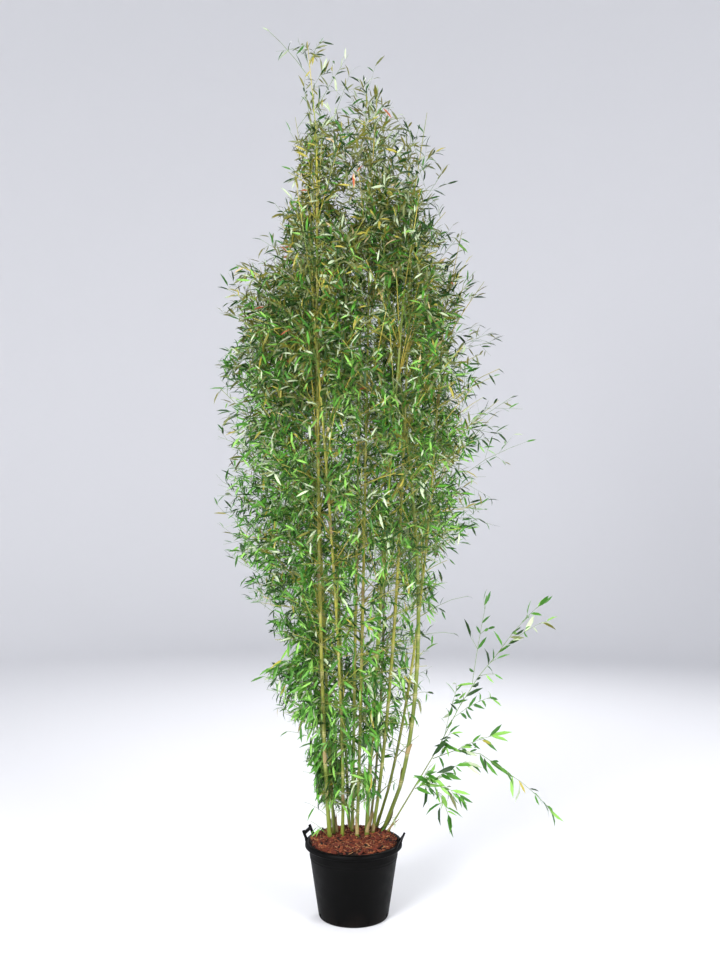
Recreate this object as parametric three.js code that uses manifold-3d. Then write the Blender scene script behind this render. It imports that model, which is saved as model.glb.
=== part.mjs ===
// Potted bamboo: a black nursery pot with two grips, its potting bark, and a clump of culms with foliage.
// Millimetres, +Z up. The origin is the centre of the pot's underside, +X is to the right and +Y to the back.

import * as THREE from 'three';
import { mergeVertices } from 'three/addons/utils/BufferGeometryUtils.js';
import Module from 'manifold-3d';

const wasm = await Module();
wasm.setup();

const { clamp, degToRad, lerp } = THREE.MathUtils;

// ---- driving dimensions ----

const SEAT = 0.3; // clearance where one piece rests on another

const POT = {
  height: 333, baseRadius: 158, mouthRadius: 200, rimRadius: 220, rimDepth: 24,
  wall: 4, floor: 7, edge: 9, lip: 3, sides: 32,
};
const GRIP = {
  width: 104, height: 62, leg: 15, thick: 9, corner: 22, lean: 0.42, seatRadius: 206, azimuth: degToRad(164),
};
const BARK = { top: 346, shoulder: 188, edge: 330 };

// Each culm's foot [x, y] and tip [x, y, z], the sideways bow of its middle and the radius of its foot.
const CULMS = [
  { foot: [-107, 0], tip: [-165, -130, 3500], bow: [-22, -60], radius: 9 },
  { foot: [-89, 36], tip: [-205, 75, 3260], bow: [-10, 10], radius: 6.5 },
  { foot: [-76, 68], tip: [-350, 155, 2570], bow: [-20, 0], radius: 6.5 },
  { foot: [-53, 12], tip: [-180, -260, 2800], bow: [30, -20], radius: 7.5 },
  { foot: [-20, 122], tip: [-150, 310, 2880], bow: [0, 10], radius: 6.5 },
  { foot: [-7, 80], tip: [40, 110, 3320], bow: [0, 0], radius: 7.5 },
  { foot: [15, 0], tip: [75, -150, 3220], bow: [5, 0], radius: 7.5 },
  { foot: [60, 24], tip: [220, -270, 2770], bow: [-10, -10], radius: 9 },
  { foot: [84, 56], tip: [265, -80, 3200], bow: [40, -45], radius: 8 },
  { foot: [72, 148], tip: [150, 350, 2780], bow: [40, 0], radius: 6 },
  { foot: [130, 118], tip: [120, 50, 3110], bow: [168, -120], radius: 10 },
  { foot: [102, 142], tip: [420, 70, 2720], bow: [65, -70], radius: 7 },
];
const CULM = {
  sides: 6, taper: 0.5, bowPower: 0.7, firstKnot: 105, knotGap: 270, ringedKnots: 2, knot: 1.14, collar: 11,
  bareTip: 160,
};

// A thin side shoot leans far out to the right. Three loose sprays spring from it, each from its own place.
const SHOOT = { foot: [156, 92], tip: [392, 70, 735], bow: [10, 0], radius: 5 };
const SHOOT_SPRAYS = [
  { name: 'rising', at: 1, end: [670, 60, 1170], arch: 0.15 },
  { name: 'arching', at: 0.86, end: [690, 0, 640], arch: 0.4 },
  { name: 'low', at: 0.5, end: [380, -60, 590], arch: 0.2 },
];

// The crown's outline: [level, reach to the left, reach to the right]. From front to back it reaches less.
const CROWN = {
  outline: [
    [450, 170, 210],
    [630, 200, 250],
    [800, 230, 310],
    [950, 340, 350],
    [1060, 440, 360],
    [1190, 300, 390],
    [1370, 380, 430],
    [1550, 540, 450],
    [1740, 600, 590],
    [1920, 590, 650],
    [2130, 620, 780],
    [2380, 610, 810],
    [2520, 610, 680],
    [2650, 560, 650],
    [2840, 640, 620],
    [2950, 500, 590],
    [3110, 430, 550],
    [3220, 350, 500],
    [3480, 300, 480],
    [3580, 280, 340],
    [3740, 270, 230],
    [3880, 400, 150],
    [4000, 420, 60],
  ],
  middle: 45,
  depth: 0.88,
};

const GOLDEN_ANGLE = degToRad(137.5);
const SPRAYS = {
  sidePerCulm: 2, lowest: 760, highest: 2720, rise: [130, 360], reach: 0.68, arch: 0.2,
  topLength: 430, topLean: 0.14,
};
const STEM = {
  radius: 5.5, tipRadius: 4.6, rootSpan: 0.9, sides: 3, steps: 3, turns: [0, 0.2, -0.2, 0.4, -0.4],
};
const TWIG = {
  count: 3, firstAt: 0.35, lastAt: 0.9, steps: 2, spread: 0.9, length: 0.4, vary: 0.2, radius: 2.4,
  droop: 0.22, attempts: 3,
};
const LEAF = {
  length: 250, width: 80, thick: 7, widest: 0.4, places: [0.96, 0.8, 0.62, 0.45], fans: [0, 0.75, -0.75, 0.9],
  vary: 0.3, droop: [0.1, 0.5], roll: 1.3, attempts: 7,
};

// A new piece is sampled closely, and each sample keeps this clear of the neighbours.
const CLEARANCE = { gap: 4, sample: 10, strandAt: 0.3, strandRadius: 0.2 };
const OVERREACH = 140; // how far a spray may reach past the middle between its own stem and the next

const FINISH = {
  pot: { color: 0x1b1c1e, roughness: 0.5 },
  bark: { color: 0x6e3620, roughness: 0.95 },
  culm: { color: 0x9aa644, roughness: 0.45 },
  shoot: { color: 0xb9a94a, roughness: 0.5 },
  foliage: { color: 0x4f7f35, roughness: 0.6 },
};

// ---- helpers ----

const UP = new THREE.Vector3(0, 0, 1);

// The same seed gives the same run of numbers, each between low and high.
function seeded(seed) {
  let state = seed;
  return (low, high) => {
    state = (state * 1664525 + 1013904223) % 4294967296;
    return low + ((high - low) * state) / 4294967296;
  };
}

function named(name, geometry, finish) {
  const mesh = new THREE.Mesh(geometry, new THREE.MeshStandardMaterial({ ...finish, metalness: 0 }));
  mesh.name = name;
  return mesh;
}

// A turned body about the Z axis: its profile's points are [radius, height].
function turned(profile, sides) {
  const points = profile.map(([radius, height]) => new THREE.Vector2(radius, height));
  return new THREE.LatheGeometry(points, sides).rotateX(Math.PI / 2);
}

function welded(geometry) {
  geometry.deleteAttribute('normal');
  geometry.deleteAttribute('uv');
  return mergeVertices(geometry);
}

function toManifold(geometry) {
  return new wasm.Manifold(new wasm.Mesh({
    numProp: 3,
    vertProperties: new Float32Array(geometry.attributes.position.array),
    triVerts: new Uint32Array(geometry.index.array),
  }));
}

function fused(geometries) {
  const whole = geometries.map(toManifold).reduce((sum, piece) => sum.add(piece));
  const { vertProperties, triVerts } = whole.getMesh();
  const geometry = new THREE.BufferGeometry();
  geometry.setAttribute('position', new THREE.BufferAttribute(vertProperties, 3));
  geometry.setIndex(new THREE.BufferAttribute(triVerts, 1));
  return geometry;
}

// A direction turned from another by an angle, in the plane that it makes with a square direction.
function swung(along, square, angle) {
  return along.clone().multiplyScalar(Math.cos(angle)).addScaledVector(square, Math.sin(angle));
}

// The level direction square to another.
function levelAcross(along) {
  return UP.clone().cross(along).normalize();
}

// ---- the pot, its grips and the bark ----

function makePot() {
  const { height, baseRadius, mouthRadius, rimRadius, rimDepth, wall, floor, edge, lip } = POT;
  return named('pot', turned([
    [0, 0],
    [baseRadius - edge, 0],
    [baseRadius - edge / 3, edge / 3],
    [baseRadius, edge],
    [mouthRadius + wall, height - rimDepth],
    [rimRadius - lip, height - rimDepth],
    [rimRadius, height - rimDepth + lip],
    [rimRadius, height - lip],
    [rimRadius - lip, height],
    [mouthRadius + lip / 2, height],
    [mouthRadius, height - lip / 2],
    [baseRadius - wall, floor + edge],
    [baseRadius - wall - edge, floor],
    [0, floor],
  ], POT.sides), FINISH.pot);
}

// The bark fills the pot to just under its rim, and its top is a low flat mound.
function makeBark() {
  const { height, baseRadius, mouthRadius, wall, floor, edge, lip } = POT;
  const low = floor + edge;
  const slope = (mouthRadius - baseRadius + wall) / (height - lip / 2 - low);
  const edgeRadius = baseRadius - wall + slope * (BARK.edge - low);
  return named('potting_bark', turned([
    [0, floor + SEAT],
    [baseRadius - wall - edge - SEAT, floor + SEAT],
    [baseRadius - wall - SEAT, low],
    [edgeRadius - SEAT, BARK.edge],
    [BARK.shoulder, BARK.top],
    [0, BARK.top],
  ], POT.sides), FINISH.bark);
}

// A strap bent into a loop that stands on the rim and leans outwards.
function makeGrip(name, azimuth) {
  const { width, height, leg, thick, corner, lean, seatRadius } = GRIP;
  const half = width / 2;
  const hole = half - leg;
  const bend = corner - leg / 2;
  const outline = new THREE.Shape();
  outline.moveTo(hole, 0);
  outline.lineTo(half, 0);
  outline.absarc(half - corner, height - corner, corner, 0, Math.PI / 2);
  outline.absarc(corner - half, height - corner, corner, Math.PI / 2, Math.PI);
  outline.lineTo(-half, 0);
  outline.lineTo(-hole, 0);
  outline.absarc(bend - hole, height - leg - bend, bend, Math.PI, Math.PI / 2, true);
  outline.absarc(hole - bend, height - leg - bend, bend, Math.PI / 2, 0, true);
  const strap = new THREE.ExtrudeGeometry(outline, { depth: thick, bevelEnabled: false, curveSegments: 3 });
  const shear = new THREE.Matrix4().makeShear(0, 0, 0, 0, 0, lean);
  const mesh = named(name, strap.rotateX(Math.PI / 2).applyMatrix4(shear), FINISH.pot);
  const seat = seatRadius + thick / 2;
  mesh.position.set(seat * Math.cos(azimuth), seat * Math.sin(azimuth), POT.height + SEAT);
  mesh.rotation.z = azimuth - Math.PI / 2;
  return mesh;
}

// ---- culms ----

const FOOT_LEVEL = BARK.top + SEAT;

// How far up a culm a level is, from 0 at its foot to 1 at its tip.
function culmPlace(culm, level) {
  return clamp((level - FOOT_LEVEL) / (culm.tip[2] - FOOT_LEVEL), 0, 1);
}

function culmCentre({ foot, tip, bow }, level) {
  const t = culmPlace({ tip }, level);
  const swing = Math.sin(Math.PI * t ** CULM.bowPower);
  return new THREE.Vector3(
    lerp(foot[0], tip[0], t) + bow[0] * swing,
    lerp(foot[1], tip[1], t) + bow[1] * swing,
    level,
  );
}

function culmRadius(culm, level) {
  return culm.radius * (1 - CULM.taper * culmPlace(culm, level) ** 1.3);
}

// The knots of each culm start at a height of its own.
function knotLevels({ foot, tip }) {
  const levels = [];
  const first = FOOT_LEVEL + CULM.firstKnot + Math.abs(foot[0]);
  for (let level = first; level < tip[2] - CULM.bareTip; level += CULM.knotGap) levels.push(level);
  return levels;
}

// The culm's level rings from foot to tip. The lowest knots stand out as raised rings.
function culmRings(culm) {
  const rings = [];
  const ring = (level, swell) => {
    rings.push({ centre: culmCentre(culm, level), radius: culmRadius(culm, level) * swell });
  };
  ring(FOOT_LEVEL, 1);
  knotLevels(culm).forEach((level, index) => {
    const raised = index < CULM.ringedKnots;
    if (raised) ring(level - CULM.collar, 1);
    ring(level, raised ? CULM.knot : 1);
    if (raised) ring(level + CULM.collar, 1);
  });
  ring(culm.tip[2], 1);
  return rings;
}

// A turned body with the culm's rings, each moved level to its centre.
function makeCulm(name, culm, finish) {
  const side = culmRings(culm).map(({ centre, radius }) => [radius, centre.z]);
  const geometry = turned([[0, FOOT_LEVEL], ...side, [0, culm.tip[2]]], CULM.sides);
  const { position } = geometry.attributes;
  for (let i = 0; i < position.count; i += 1) {
    const centre = culmCentre(culm, position.getZ(i));
    position.setX(i, position.getX(i) + centre.x);
    position.setY(i, position.getY(i) + centre.y);
  }
  return named(name, geometry, finish);
}

// ---- room: what stands already, the crown's outline and each spray's own space ----

const standing = []; // straight stretches, each with its radius and its owner

function stand(route, radius, owner) {
  route.slice(1).forEach((point, i) => {
    standing.push({ line: new THREE.Line3(route[i], point), radius, owner });
  });
}

function samplesOf(route) {
  return route.slice(1).flatMap((point, i) => {
    const count = Math.ceil(point.distanceTo(route[i]) / CLEARANCE.sample);
    return Array.from({ length: count + 1 }, (_, k) => route[i].clone().lerp(point, k / count));
  });
}

function wayTo(line, point) {
  return line.closestPointToPoint(point, true, new THREE.Vector3()).distanceTo(point);
}

// True if the route keeps clear of all that stands, apart from what the passed owners own.
function isClear(route, radius, passed) {
  const samples = samplesOf(route);
  return standing.every(({ line, radius: otherRadius, owner }) => {
    const least = radius + otherRadius + CLEARANCE.gap;
    return passed.includes(owner) || samples.every((sample) => wayTo(line, sample) > least);
  });
}

// The crown's cross-section at one level, read off its outline: its middle and its half-width, along X.
function crownSection(level) {
  const { outline } = CROWN;
  const above = Math.max(outline.findIndex(([edge]) => edge > level), 1);
  const [low, high] = [outline[above - 1], outline[above]];
  const t = clamp((level - low[0]) / (high[0] - low[0]), 0, 1);
  const left = lerp(low[1], high[1], t);
  const right = lerp(low[2], high[2], t);
  return { middle: (right - left) / 2, half: (right + left) / 2 };
}

function inCrown({ x, y, z }) {
  const [lowest, highest] = [CROWN.outline[0][0], CROWN.outline[CROWN.outline.length - 1][0]];
  const { middle, half } = crownSection(z);
  const across = (x - middle) / half;
  const deep = (y - CROWN.middle) / (half * CROWN.depth);
  return z > lowest && z < highest && Math.hypot(across, deep) < 1;
}

const sprays = [];

// A spray's space is what lies nearer its own stem than any other, give or take the overreach.
function inSpace(spray, point) {
  const wayToStem = ({ lines }) => Math.min(...lines.map((line) => wayTo(line, point)));
  const own = wayToStem(spray) - OVERREACH;
  return sprays.every((other) => other === spray || wayToStem(other) > own);
}

// A twig or leaf that would end outside the crown or its spray's space, or touch a neighbour, isn't kept.
function isKept(spray, route, radius, passed) {
  const end = route[route.length - 1];
  return (inCrown(end) || !spray.confined) && inSpace(spray, end) && isClear(route, radius, passed);
}

// ---- stems, twigs and leaves ----

// A route of straight steps that rises and then hangs over on its way to its end.
function arched(from, to, arch, steps) {
  const middle = from.clone().lerp(to, 0.5);
  middle.z += arch * from.distanceTo(to);
  return new THREE.QuadraticBezierCurve3(from, middle, to).getPoints(steps);
}

function stepAt(route, place) {
  return Math.min(Math.floor(place * (route.length - 1)), route.length - 2);
}

function pointOn(route, place) {
  const step = stepAt(route, place);
  return route[step].clone().lerp(route[step + 1], place * (route.length - 1) - step);
}

function directionOn(route, place) {
  const step = stepAt(route, place);
  return route[step + 1].clone().sub(route[step]).normalize();
}

// Where a stem meets its culm: on the nearest flat of the culm's side, a seat's width clear of it.
function rootOn(culm, level, azimuth) {
  const flat = (2 * Math.PI) / CULM.sides;
  const facing = Math.round(azimuth / flat) * flat;
  const normal = new THREE.Vector3(Math.cos(facing), Math.sin(facing), 0);
  const rings = culmRings(culm);
  const surfaceAt = (height) => {
    const above = rings.findIndex(({ centre }) => centre.z > height);
    const [low, high] = [rings[above - 1], rings[above]];
    const t = (height - low.centre.z) / (high.centre.z - low.centre.z);
    const radius = lerp(low.radius, high.radius, t);
    return low.centre.clone().lerp(high.centre, t).dot(normal) + radius * Math.cos(flat / 2);
  };
  const span = STEM.radius * STEM.rootSpan;
  const out = Math.max(surfaceAt(level - span), surfaceAt(level), surfaceAt(level + span)) + SEAT;
  const centre = culmCentre(culm, level);
  return { point: centre.addScaledVector(normal, out - centre.dot(normal)), facing: normal };
}

// The stem of a side spray runs from its culm towards the crown's outline in one direction.
function sideStem(culm, level, azimuth) {
  const up = (level - SPRAYS.lowest) / (SPRAYS.highest - SPRAYS.lowest);
  const endLevel = level + lerp(...SPRAYS.rise, up);
  const { middle, half } = crownSection(endLevel);
  const reach = half * SPRAYS.reach;
  const x = middle + reach * Math.cos(azimuth);
  const y = CROWN.middle + reach * CROWN.depth * Math.sin(azimuth);
  const centre = culmCentre(culm, level);
  const { point, facing } = rootOn(culm, level, Math.atan2(y - centre.y, x - centre.x));
  return { route: arched(point, new THREE.Vector3(x, y, endLevel), SPRAYS.arch, STEM.steps), facing };
}

// The stem of a top spray carries its culm on, and leans outwards.
function topStem(culm) {
  const tip = culmCentre(culm, culm.tip[2]);
  const along = tip.clone().sub(culmCentre(culm, culm.tip[2] - CULM.knotGap)).normalize();
  const outward = new THREE.Vector3(tip.x, tip.y - CROWN.middle, 0).setLength(SPRAYS.topLean);
  const from = tip.setZ(culm.tip[2] + SEAT);
  const to = from.clone().addScaledVector(along.add(outward), SPRAYS.topLength);
  return { route: arched(from, to, 0, STEM.steps), facing: UP };
}

// Of the side shoot's stems, one carries it on and the others spring from its side.
function shootStem({ at, end, arch }) {
  const to = new THREE.Vector3(...end);
  const level = lerp(FOOT_LEVEL, SHOOT.tip[2], at);
  const centre = culmCentre(SHOOT, level);
  const onTip = { point: centre.clone().setZ(level + SEAT), facing: UP };
  const onSide = () => rootOn(SHOOT, level, Math.atan2(to.y - centre.y, to.x - centre.x));
  const { point, facing } = at === 1 ? onTip : onSide();
  return { route: arched(point, to, arch, STEM.steps), facing };
}

// A three-sided limb along a route. Its first ring faces the way that it is given.
function limb(route, radius, tipRadius, rootFacing) {
  const steps = route.length - 1;
  const corners = Array.from({ length: STEM.sides }, (_, k) => (2 * Math.PI * k) / STEM.sides);
  const middle = new THREE.Vector2();
  const section = new THREE.Shape(corners.map((turn) => new THREE.Vector2(1, 0).rotateAround(middle, turn)));
  const geometry = new THREE.ExtrudeGeometry(section, { depth: 1, steps, bevelEnabled: false });
  const overall = route[steps].clone().sub(route[0]);
  const lengths = overall.toArray().map(Math.abs);
  const reference = new THREE.Vector3().setComponent(lengths.indexOf(Math.min(...lengths)), 1);
  const { position } = geometry.attributes;
  for (let i = 0; i < position.count; i += 1) {
    const ring = Math.round(position.getZ(i) * steps);
    const ahead = route[Math.min(ring + 1, steps)].clone().sub(route[Math.max(ring - 1, 0)]).normalize();
    const facing = ring === 0 ? rootFacing : ahead;
    const side = reference.clone().cross(facing).normalize();
    const third = facing.clone().cross(side);
    const width = lerp(radius, tipRadius, ring / steps);
    const point = route[ring].clone();
    point.addScaledVector(side, position.getX(i) * width);
    point.addScaledVector(third, position.getY(i) * width);
    position.setXYZ(i, point.x, point.y, point.z);
  }
  return welded(geometry);
}

// Two routes down the leaf's halves stand for it when it is tested for clearance.
function leafStrands({ start, along, across }) {
  const tip = start.clone().addScaledVector(along, LEAF.length);
  return [-1, 1].map((side) => {
    const offset = side * LEAF.width * CLEARANCE.strandAt;
    return [start, start.clone().lerp(tip, LEAF.widest).addScaledVector(across, offset), tip];
  });
}

// One flat leaf of eight faces.
function leafShape({ start, along, across, through }) {
  const geometry = new THREE.OctahedronGeometry(1);
  const { position } = geometry.attributes;
  for (let i = 0; i < position.count; i += 1) {
    const end = position.getX(i);
    const place = Math.abs(end) < 0.5 ? LEAF.widest : (end + 1) / 2;
    const point = start.clone().addScaledVector(along, place * LEAF.length);
    point.addScaledVector(across, (position.getY(i) * LEAF.width) / 2);
    point.addScaledVector(through, (position.getZ(i) * LEAF.thick) / 2);
    position.setXYZ(i, point.x, point.y, point.z);
  }
  return welded(geometry);
}

// Keeps a leaf if there is room for it. Its blade, past its root, also keeps clear of its own spray.
function keepLeaf(spray, leaf) {
  const blades = `${spray.name} blades`;
  const radius = LEAF.width * CLEARANCE.strandRadius;
  const strands = leafStrands(leaf);
  const outer = strands.map((strand) => strand.slice(1));
  const kept = strands.every((strand) => isKept(spray, strand, radius, [spray.name, blades]))
    && outer.every((strand) => isKept(spray, strand, radius, [spray.name]));
  if (kept) {
    strands.forEach((strand) => stand(strand, radius, spray.name));
    outer.forEach((strand) => stand(strand, radius, blades));
    spray.pieces.push(leafShape(leaf));
  }
  return kept;
}

// Leaves fan out along the end of a limb, to one side and the other, and hang a little.
// One that finds no room is turned further a few times, and then skipped.
function addLeaves(spray, route, random) {
  LEAF.places.slice(0, spray.leaves).forEach((place, index) => {
    const along = directionOn(route, place);
    for (let attempt = 0; attempt < LEAF.attempts; attempt += 1) {
      const fan = LEAF.fans[index] + random(-LEAF.vary, LEAF.vary) * (1 + attempt);
      const direction = swung(along, levelAcross(along), fan);
      direction.z -= random(...LEAF.droop);
      direction.normalize();
      const across = levelAcross(direction).applyAxisAngle(direction, random(-LEAF.roll, LEAF.roll));
      const through = direction.clone().cross(across);
      if (keepLeaf(spray, { start: pointOn(route, place), along: direction, across, through })) break;
    }
  });
}

// Twigs leave the stem in turn all round it, each a golden angle on from the last, and leaves grow on each.
function growSpray(spray, random) {
  const { route } = spray;
  const span = route[0].distanceTo(route[STEM.steps]);
  addLeaves(spray, route, random);
  for (let i = 0; i < TWIG.count; i += 1) {
    const place = lerp(TWIG.lastAt, TWIG.firstAt, i / (TWIG.count - 1));
    const along = directionOn(route, place);
    const from = pointOn(route, place);
    for (let attempt = 0; attempt < TWIG.attempts; attempt += 1) {
      const round = levelAcross(along).applyAxisAngle(along, (spray.turn + i + attempt) * GOLDEN_ANGLE);
      const length = span * TWIG.length * random(1 - TWIG.vary, 1 + TWIG.vary);
      const to = from.clone().addScaledVector(swung(along, round, TWIG.spread), length);
      to.z -= TWIG.droop * length;
      const twig = arched(from, to, TWIG.droop / 2, TWIG.steps);
      if (isKept(spray, twig, TWIG.radius, [spray.name])) {
        stand(twig, TWIG.radius, spray.name);
        spray.pieces.push(limb(twig, TWIG.radius, TWIG.radius, directionOn(twig, 0)));
        addLeaves(spray, twig, random);
        break;
      }
    }
  }
}

// ---- laying out the sprays ----

// A confined spray stays inside the crown's outline. Each of its limbs has at most so many leaves.
function addSpray(name, { route, facing }, confined = true, leaves = LEAF.places.length) {
  const lines = route.slice(1).map((point, i) => new THREE.Line3(route[i], point));
  const pieces = [limb(route, STEM.radius, STEM.tipRadius, facing)];
  stand(route, STEM.radius, name);
  sprays.push({ name, route, lines, pieces, confined, leaves, turn: sprays.length });
}

function numbered(kind, index, place = '') {
  return `${kind}_${String(index + 1).padStart(2, '0')}${place}`;
}

// Finds the first culm of a list that can carry a side spray that way, with room for its stem.
// The stem's first step lies against its own culm, so only the rest of it is tested.
function findStem(candidates, wanted, azimuth) {
  for (const index of candidates) {
    const culm = CULMS[index];
    const level = knotLevels(culm).reduce((best, knot) => (
      Math.abs(knot - wanted) < Math.abs(best - wanted) ? knot : best));
    const stem = STEM.turns.map((turn) => sideStem(culm, level, azimuth + turn))
      .find(({ route }) => isClear(route.slice(1), STEM.radius, []));
    if (stem) return { index, stem };
  }
  return null;
}

// Side sprays climb the clump by golden angles. Each springs from the culm that stands furthest out its way.
function addSideSprays() {
  const carried = CULMS.map(() => 0);
  const count = CULMS.length * SPRAYS.sidePerCulm;
  for (let i = 0; i < count; i += 1) {
    const wanted = lerp(SPRAYS.lowest, SPRAYS.highest, i / (count - 1));
    const azimuth = i * GOLDEN_ANGLE;
    const outward = new THREE.Vector3(Math.cos(azimuth), Math.sin(azimuth), 0);
    const standsOut = (index) => culmCentre(CULMS[index], wanted).dot(outward);
    const candidates = CULMS.map((culm, index) => index)
      .filter((index) => carried[index] < SPRAYS.sidePerCulm)
      .sort((a, b) => standsOut(b) - standsOut(a));
    const found = findStem(candidates, wanted, azimuth);
    if (found) {
      addSpray(numbered('foliage', found.index, carried[found.index] === 0 ? '_low' : '_high'), found.stem);
      carried[found.index] += 1;
    }
  }
}

[...CULMS, SHOOT].forEach((culm) => {
  stand(culmRings(culm).map(({ centre }) => centre), culm.radius * CULM.knot, 'culms');
});
CULMS.forEach((culm, index) => addSpray(numbered('foliage', index, '_top'), topStem(culm)));
SHOOT_SPRAYS.forEach((spray) => addSpray(`foliage_shoot_${spray.name}`, shootStem(spray), false, 2));
addSideSprays();
sprays.forEach((spray) => growSpray(spray, seeded(spray.turn + 11)));

// ---- the whole plant ----

const plant = new THREE.Group();
plant.add(makePot());
plant.add(makeBark());
plant.add(makeGrip('grip_left', GRIP.azimuth));
plant.add(makeGrip('grip_right', GRIP.azimuth - Math.PI));
CULMS.forEach((culm, index) => plant.add(makeCulm(numbered('culm', index), culm, FINISH.culm)));
plant.add(makeCulm('side_shoot', SHOOT, FINISH.shoot));
sprays.forEach((spray) => plant.add(named(spray.name, fused(spray.pieces), FINISH.foliage)));

export default plant;
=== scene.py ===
"""A potted bamboo: black nursery pot, potting bark, a clump of canes, their twigs and leaves."""
import math
from collections import namedtuple
from functools import partial

import bpy
import numpy as np
from bpy.props import FloatProperty, FloatVectorProperty, IntProperty, PointerProperty
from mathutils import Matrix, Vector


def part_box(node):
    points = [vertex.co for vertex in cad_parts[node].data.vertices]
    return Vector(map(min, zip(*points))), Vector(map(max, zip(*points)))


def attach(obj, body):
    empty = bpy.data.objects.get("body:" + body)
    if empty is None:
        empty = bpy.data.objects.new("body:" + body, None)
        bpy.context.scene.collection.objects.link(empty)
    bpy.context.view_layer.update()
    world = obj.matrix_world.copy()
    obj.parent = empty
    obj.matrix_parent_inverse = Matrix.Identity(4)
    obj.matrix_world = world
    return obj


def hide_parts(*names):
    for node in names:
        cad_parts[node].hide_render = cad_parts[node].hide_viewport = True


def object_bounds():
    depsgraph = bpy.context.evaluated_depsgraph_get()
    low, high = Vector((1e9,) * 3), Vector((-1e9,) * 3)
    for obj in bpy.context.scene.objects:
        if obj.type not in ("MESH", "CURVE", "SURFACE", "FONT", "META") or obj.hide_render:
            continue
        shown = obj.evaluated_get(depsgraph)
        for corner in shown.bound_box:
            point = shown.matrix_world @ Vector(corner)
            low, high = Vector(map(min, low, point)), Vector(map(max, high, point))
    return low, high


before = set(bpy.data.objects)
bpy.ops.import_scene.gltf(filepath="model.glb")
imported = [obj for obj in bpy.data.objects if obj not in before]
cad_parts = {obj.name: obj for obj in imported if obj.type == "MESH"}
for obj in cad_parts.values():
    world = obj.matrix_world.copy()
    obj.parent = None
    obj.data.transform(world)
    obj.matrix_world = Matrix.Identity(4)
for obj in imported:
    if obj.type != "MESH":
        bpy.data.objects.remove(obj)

bl_info = {
    "name": "Potted bamboo",
    "version": (1, 0, 0),
    "blender": (4, 5, 0),
    "location": "View3D > Sidebar > Bamboo",
    "description": "Builds a clump of bamboo in a nursery pot, piece by piece",
    "category": "Object",
}

CAD_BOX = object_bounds()
BODY = "root"


def linear(code):
    """An sRGB hex colour, such as #7a3a22, as linear red, green and blue."""
    parts = [int(code[i:i + 2], 16) / 255 for i in (1, 3, 5)]
    return [p / 12.92 if p <= 0.04045 else ((p + 0.055) / 1.055) ** 2.4 for p in parts]


# ---- the pot and its bark, in metres ----

SEAT = 0.0003  # clearance where one piece rests on another
POT_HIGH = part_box("pot")[1]
BARK_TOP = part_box("potting_bark")[1].z
FOOT_LEVEL = BARK_TOP + SEAT
# The wall has a ring at the plinth, where the drain slots end, and two fine ribs under the rim.
POT = {"base": 0.158, "mouth": 0.200, "rim_depth": 0.024, "wall": 0.004, "floor": 0.007, "edge": 0.009,
       "sides": 96, "rib": 0.0012, "rib_levels": (0.262, 0.274), "rib_flank": 0.003, "plinth": 0.030}
# Drain slots: between which levels, one in so many degrees, and half of its width in degrees.
SLOT = {"low": 0.009, "high": 0.030, "every": 45, "half": 4, "frame": 0.003, "depth": 0.0032,
        "upright": 0.3}
# The strap handles lean out from their seat on the rim, and are wider and thicker at their feet.
GRIP = {"width": 0.104, "height": 0.062, "leg": 0.015, "thick": 0.009, "corner": 0.022, "lean": 0.42,
        "foot": 0.006, "foot_wider": (1.7, 1.25), "tuck": 0.004, "round": 0.0022, "seat": 0.206,
        "azimuth": math.radians(164)}
# The mound is flat out to a radius and then falls to the wall. Lumps and chips stay clear of the wall.
BARK = {"flat": 0.1316, "below": 0.004, "fall": 0.016, "gap": 0.0012, "bevel": 0.001, "edge": 0.188,
        "centre": 0.010, "rings": 0.012, "sides": 64, "top": 0.32, "lumpy": 0.193, "lump": 0.018,
        "lump_height": 0.010, "loose": 0.009, "clear": 0.003}
CHIP = ((0.016, 0.046), (0.008, 0.020), (0.003, 0.009))  # how long, wide and thick
FIBRE = ((0.018, 0.046), (0.0012, 0.0026), (0.0008, 0.0016))
# How chips lie, in radians, and how uneven their corners are.
CHIP_LIE = {"pitch": 0.32, "roll": 0.5, "uneven": (0.45, 1.15), "warp": 0.25}

# ---- the canes and the stems of the foliage, as the solids have them ----

Culm = namedtuple("Culm", "foot tip bow radius skin")
CULMS = [
    Culm((-0.107, 0.000), (-0.165, -0.130, 3.50), (-0.022, -0.060), 0.0090, "golden"),
    Culm((-0.089, 0.036), (-0.205, 0.075, 3.26), (-0.010, 0.010), 0.0065, "golden"),
    Culm((-0.076, 0.068), (-0.350, 0.155, 2.57), (-0.020, 0.000), 0.0065, "golden"),
    Culm((-0.053, 0.012), (-0.180, -0.260, 2.80), (0.030, -0.020), 0.0075, "golden"),
    Culm((-0.020, 0.122), (-0.150, 0.310, 2.88), (0.000, 0.010), 0.0065, "green"),
    Culm((-0.007, 0.080), (0.040, 0.110, 3.32), (0.000, 0.000), 0.0075, "golden"),
    Culm((0.015, 0.000), (0.075, -0.150, 3.22), (0.005, 0.000), 0.0075, "golden"),
    Culm((0.060, 0.024), (0.220, -0.270, 2.77), (-0.010, -0.010), 0.0090, "green"),
    Culm((0.084, 0.056), (0.265, -0.080, 3.20), (0.040, -0.045), 0.0080, "golden"),
    Culm((0.072, 0.148), (0.150, 0.350, 2.78), (0.040, 0.000), 0.0060, "shaded"),
    Culm((0.130, 0.118), (0.120, 0.050, 3.11), (0.168, -0.120), 0.0100, "green"),
    Culm((0.102, 0.142), (0.420, 0.070, 2.72), (0.065, -0.070), 0.0070, "golden"),
]
SHOOT = Culm((0.156, 0.092), (0.392, 0.070, 0.735), (0.010, 0.000), 0.0050, "golden")
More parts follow.
